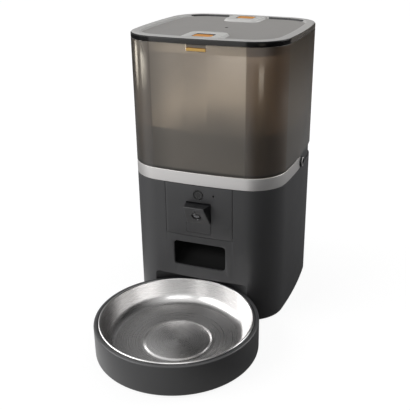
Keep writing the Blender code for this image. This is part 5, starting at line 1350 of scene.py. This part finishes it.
# Bowl holder. A round charcoal moulding with a straight outer wall, a narrow rim and a seat that follows
# the bowl; it slides into the housing's alcove and stands on four rubber pads.
HOLDER_HEIGHT = 0.0373
RIM_ROUND = 0.0018
BOWL_ROOM = 0.0006
HOLDER_WALL = 0.0022
seat = bowl_line(STEEL_GAUGE + BOWL_ROOM)
under = bowl_line(STEEL_GAUGE + BOWL_ROOM + HOLDER_WALL)
well = LIP_RADIUS + BOWL_ROOM
ledge = LIP_HEIGHT - LIP_DROP - STEEL_GAUGE - 2 * GAP
rim_under = ledge - HOLDER_WALL
share = (rim_under - under[1][1]) / (under[0][1] - under[1][1])
holder = drum("bowl_stand", (
    [(0.0004, seat[-1][1])] + list(reversed(seat[1:])) + [
        (seat[0][0], ledge), (well - 0.0002, ledge), (well, ledge + 0.0002), (well, HOLDER_HEIGHT - 0.0008),
        (well + 0.0002, HOLDER_HEIGHT - 0.0003), (well + 0.0008, HOLDER_HEIGHT),
    ] + [
        (HOLDER_RADIUS - RIM_ROUND * (1 - math.sin(t)), HOLDER_HEIGHT - RIM_ROUND * (1 - math.cos(t)))
        for t in (math.pi / 12 * step for step in range(7))
    ] + [
        (HOLDER_RADIUS, 0.0030), (HOLDER_RADIUS - 0.0002, 0.0020), (HOLDER_RADIUS - 0.0006, 0.0013),
        (HOLDER_RADIUS - 0.0012, 0.0010), (HOLDER_RADIUS - 0.0026, 0.0010),
        (HOLDER_RADIUS - 0.0026, rim_under),
        (under[1][0] + (under[0][0] - under[1][0]) * share, rim_under),
    ] + under[1:] + [(0.0004, under[-1][1])]
), (0.0, holder_y), 144)
HOLDER_SATIN = moulded(
    "charcoal_abs_satin", (0.050, 0.050, 0.052), 0.36, grain=1400.0, relief=0.08, Specular_IOR_Level=0.65
)
fitted(holder, HOLDER_SATIN, "bowl_holder", ["bowl_holder"])
pad_low, pad_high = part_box("holder_foot_1")
pad_spread = abs(pad_low.x + pad_high.x)
pad = drum("holder_pad", [
    (0.0050, 0.0004), (0.0056, 0.0), (0.0070, 0.0), (0.0075, 0.0005), (0.0075, pad_high.z),
], steps=48)
pads = set_at_corners("holder_pads", pad, pad_spread, pad_spread, holder_y, RUBBER)
fitted(pads, None, "bowl_holder", [f"holder_foot_{n}" for n in (1, 2, 3, 4)])

# Studio. A wide pale floor and white surround, a broad lamp at the left front, soft ones overhead and
# behind on the right, low strips that light only the tank, two lamps that light only the bowl, and the
# camera of the photograph.
floor_mesh = bmesh.new()
bmesh.ops.create_grid(floor_mesh, x_segments=1, y_segments=1, size=6.0)
floor = made_object("studio_floor", floor_mesh)
floor.data.transform(Matrix.Translation((0, 0, -0.0002)))
floor_finish, tree, shader, place = blank_finish("studio_floor_white")
shader.inputs["Base Color"].default_value = (0.16, 0.16, 0.16, 1.0)
shader.inputs["Roughness"].default_value = 0.9
shader.inputs["Specular IOR Level"].default_value = 0.0


def studio_glow_group():
    """How bright the white surround looks: full to the eye, by direction to a mirror face."""
    tree, given, result = node_group(
        "studio_glow",
        [
            ("Towards", "NodeSocketVector", None), ("Bright side", "NodeSocketVector", (-0.8, -0.5, 0.3)),
            ("Seen", "NodeSocketFloat", 0.0), ("Mirrored", "NodeSocketFloat", 0.0),
            ("Dark from", "NodeSocketFloat", -0.5), ("Bright from", "NodeSocketFloat", 0.8),
            ("Darkest", "NodeSocketFloat", 0.05), ("Brightest", "NodeSocketFloat", 1.0),
            ("Otherwise", "NodeSocketFloat", 0.1), ("Seen level", "NodeSocketFloat", 1.0),
        ],
        [("Level", "NodeSocketFloat")],
    )
    towards = wire(tree, "ShaderNodeVectorMath", ((0, given.outputs["Towards"]),), operation="NORMALIZE")
    bright = wire(tree, "ShaderNodeVectorMath", ((0, given.outputs["Bright side"]),), operation="NORMALIZE")
    facing = wire(tree, "ShaderNodeVectorMath", (
        (0, towards.outputs[0]), (1, bright.outputs[0]),
    ), operation="DOT_PRODUCT")
    limits = [given.outputs[label] for label in ("Dark from", "Bright from", "Darkest", "Brightest")]
    fall = ranged(tree, facing.outputs["Value"], *limits)
    mirrored = wire(tree, "ShaderNodeMix", (
        ("Factor", given.outputs["Mirrored"]), ("A", given.outputs["Otherwise"]), ("B", fall),
    ))
    strength = wire(tree, "ShaderNodeMix", (
        ("Factor", given.outputs["Seen"]), ("A", mirrored.outputs["Result"]),
        ("B", given.outputs["Seen level"]),
    ))
    feed(tree, result, Level=strength.outputs["Result"])
    return tree


STUDIO_GLOW = studio_glow_group()


def glow_node(tree, towards, **levels):
    """The surround's brightness for each kind of ray, from the shared group."""
    path = tree.nodes.new("ShaderNodeLightPath")
    seen = maths(tree, "MAXIMUM", path.outputs["Is Camera Ray"], path.outputs["Is Transmission Ray"])
    glow = wire(tree, "ShaderNodeGroup", node_tree=STUDIO_GLOW)
    feed(tree, glow, Towards=towards, Seen=seen, Mirrored=path.outputs["Is Glossy Ray"])
    for label, value in levels.items():
        glow.inputs[label.replace("_", " ")].default_value = value
    return glow


from_middle = wire(tree, "ShaderNodeMapping", (("Vector", place), ("Location", (0.0, -CENTRE_Y, 0.0))))
glow = glow_node(
    tree, from_middle.outputs[0], Bright_side=(-0.47, -0.88, 0.0), Dark_from=0.5, Bright_from=0.95,
    Darkest=0.0, Brightest=0.70, Otherwise=0.0
)
away = wire(tree, "ShaderNodeVectorMath", ((0, from_middle.outputs[0]),), operation="LENGTH")
feed(tree, glow, Seen_level=ranged(tree, away.outputs["Value"], 0.30, 1.00, 0.88))
feed(tree, shader, Emission_Color=glow.outputs[0])
shader.inputs["Emission Strength"].default_value = 1.0
floor.data.materials.append(floor_finish)

world = bpy.data.worlds.new("studio")
bpy.context.scene.world = world
world.use_nodes = True
tree = world.node_tree
backdrop = tree.nodes["Background"]
place = tree.nodes.new("ShaderNodeTexCoord")
glow = glow_node(
    tree, place.outputs["Generated"], Bright_side=(-0.55, -0.75, 0.10), Dark_from=-0.6, Bright_from=0.4,
    Darkest=0.03, Brightest=0.85, Otherwise=0.05
)
feed(tree, backdrop, Color=glow.outputs[0])
backdrop.inputs["Strength"].default_value = 1.0


def softbox(name, place, aim, width, height, power):
    """A rectangular lamp that faces a point on the object; no camera or clear piece shows it."""
    lamp = bpy.data.lights.new(name, "AREA")
    lamp.shape = "RECTANGLE"
    lamp.size = width
    lamp.size_y = height
    lamp.energy = power
    made = bpy.data.objects.new(name, lamp)
    bpy.context.scene.collection.objects.link(made)
    made.visible_camera = False
    made.visible_transmission = False
    made.location = place
    made.rotation_euler = (Vector(aim) - Vector(place)).to_track_quat("-Z", "Y").to_euler()
    return made


softbox("key_left_front", (-1.3, -0.85, 1.1), (0, 0.05, 0.16), 1.8, 1.1, 23.0)
top_soft = softbox("top_soft", (0.0, 0.3, 1.5), (0, 0.05, 0.2), 2.2, 1.8, 12.0)
softbox("side_right_rear", (1.1, 0.9, 1.1), (0.05, 0.1, 0.18), 1.0, 0.8, 10.0)
side_low_right = softbox("side_low_right", (1.25, 0.75, 0.35), (0.05, 0.1, 0.16), 0.5, 0.4, 5.0)
side_low_right.visible_glossy = False
low_left = softbox("low_left", (-1.0, -0.12, 0.40), (-0.05, 0.06, 0.38), 1.20, 0.66, 3.5)
low_left.visible_glossy = False


def lit_pieces(name, *pieces):
    """A set of pieces for a lamp that lights only them, or only passes them by."""
    chosen = bpy.data.collections.new(name)
    for piece in pieces:
        chosen.objects.link(piece)
    return chosen


tank_only = lit_pieces("lit_by_left_strips", tank)
tank_and_ring = lit_pieces("lit_by_right_strip", tank, ring)
bowl_only = lit_pieces("lit_by_bowl_lamp", bowl)
for name, place, width, power, dim_end, lit in (
    ("strip_left_front", (-1.090, -0.640, 0.1200), 0.64, 4.8, 0.0, tank_only),
    ("strip_left_rear", (-1.200, 0.090, 0.1200), 0.24, 1.3, 1.0, tank_only),
    ("strip_right_front", (0.797, -0.868, 0.1200), 0.30, 0.85, 1.0, tank_and_ring),
):
    strip = softbox(name, place, (0.0, 0.03, 0.1200), width, 0.230, power)
    strip.data.color = (1.0, 0.92, 0.78)
    strip.light_linking.receiver_collection = lit
    strip.data.use_nodes = True
    tree = strip.data.node_tree
    lamp_place = tree.nodes.new("ShaderNodeNewGeometry").outputs["Parametric"]
    over = wire(tree, "ShaderNodeSeparateXYZ", ((0, lamp_place),))
    climb = ranged(tree, over.outputs["Y"], 0.10, 0.80, how="LINEAR")
    ends = ranged(tree, over.outputs["X"], to_low=1.0, to_high=dim_end, how="LINEAR")
    feed(tree, tree.nodes["Emission"], Strength=maths(tree, "MULTIPLY", climb, ends))
above_camera = softbox("above_camera", (0.40, -1.20, 1.15), (0.0, -0.11, 0.02), 0.9, 0.5, 3.0)
above_camera.light_linking.receiver_collection = bowl_only
beside_bowl = softbox("beside_bowl", (-1.04, 0.09, 0.60), (0.0, -0.09, 0.01), 0.7, 0.5, 3.0)
beside_bowl.light_linking.receiver_collection = bowl_only
not_bowl = lit_pieces("passed_by_top_lamp", bowl)
not_bowl.collection_objects[0].light_linking.link_state = "EXCLUDE"
top_soft.light_linking.receiver_collection = not_bowl

TARGET = Vector((0.0, 0.0817, 0.1095))
AZIMUTH = math.radians(19.58)
ELEVATION = math.radians(23.15)
DISTANCE = 0.8794
camera_data = bpy.data.cameras.new("camera")
camera_data.lens = 58.86
camera_data.sensor_width = 36.0
camera_data.shift_x = -0.0526
camera_data.shift_y = -0.004
camera_data.clip_start = 0.01
camera = bpy.data.objects.new("camera", camera_data)
bpy.context.scene.collection.objects.link(camera)
back = Vector((
    math.sin(AZIMUTH) * math.cos(ELEVATION), -math.cos(AZIMUTH) * math.cos(ELEVATION), math.sin(ELEVATION)
))
camera.location = TARGET + back * DISTANCE
camera.rotation_euler = (-back).to_track_quat("-Z", "Y").to_euler()
bpy.context.scene.camera = camera
bpy.context.scene.view_settings.view_transform = "Standard"
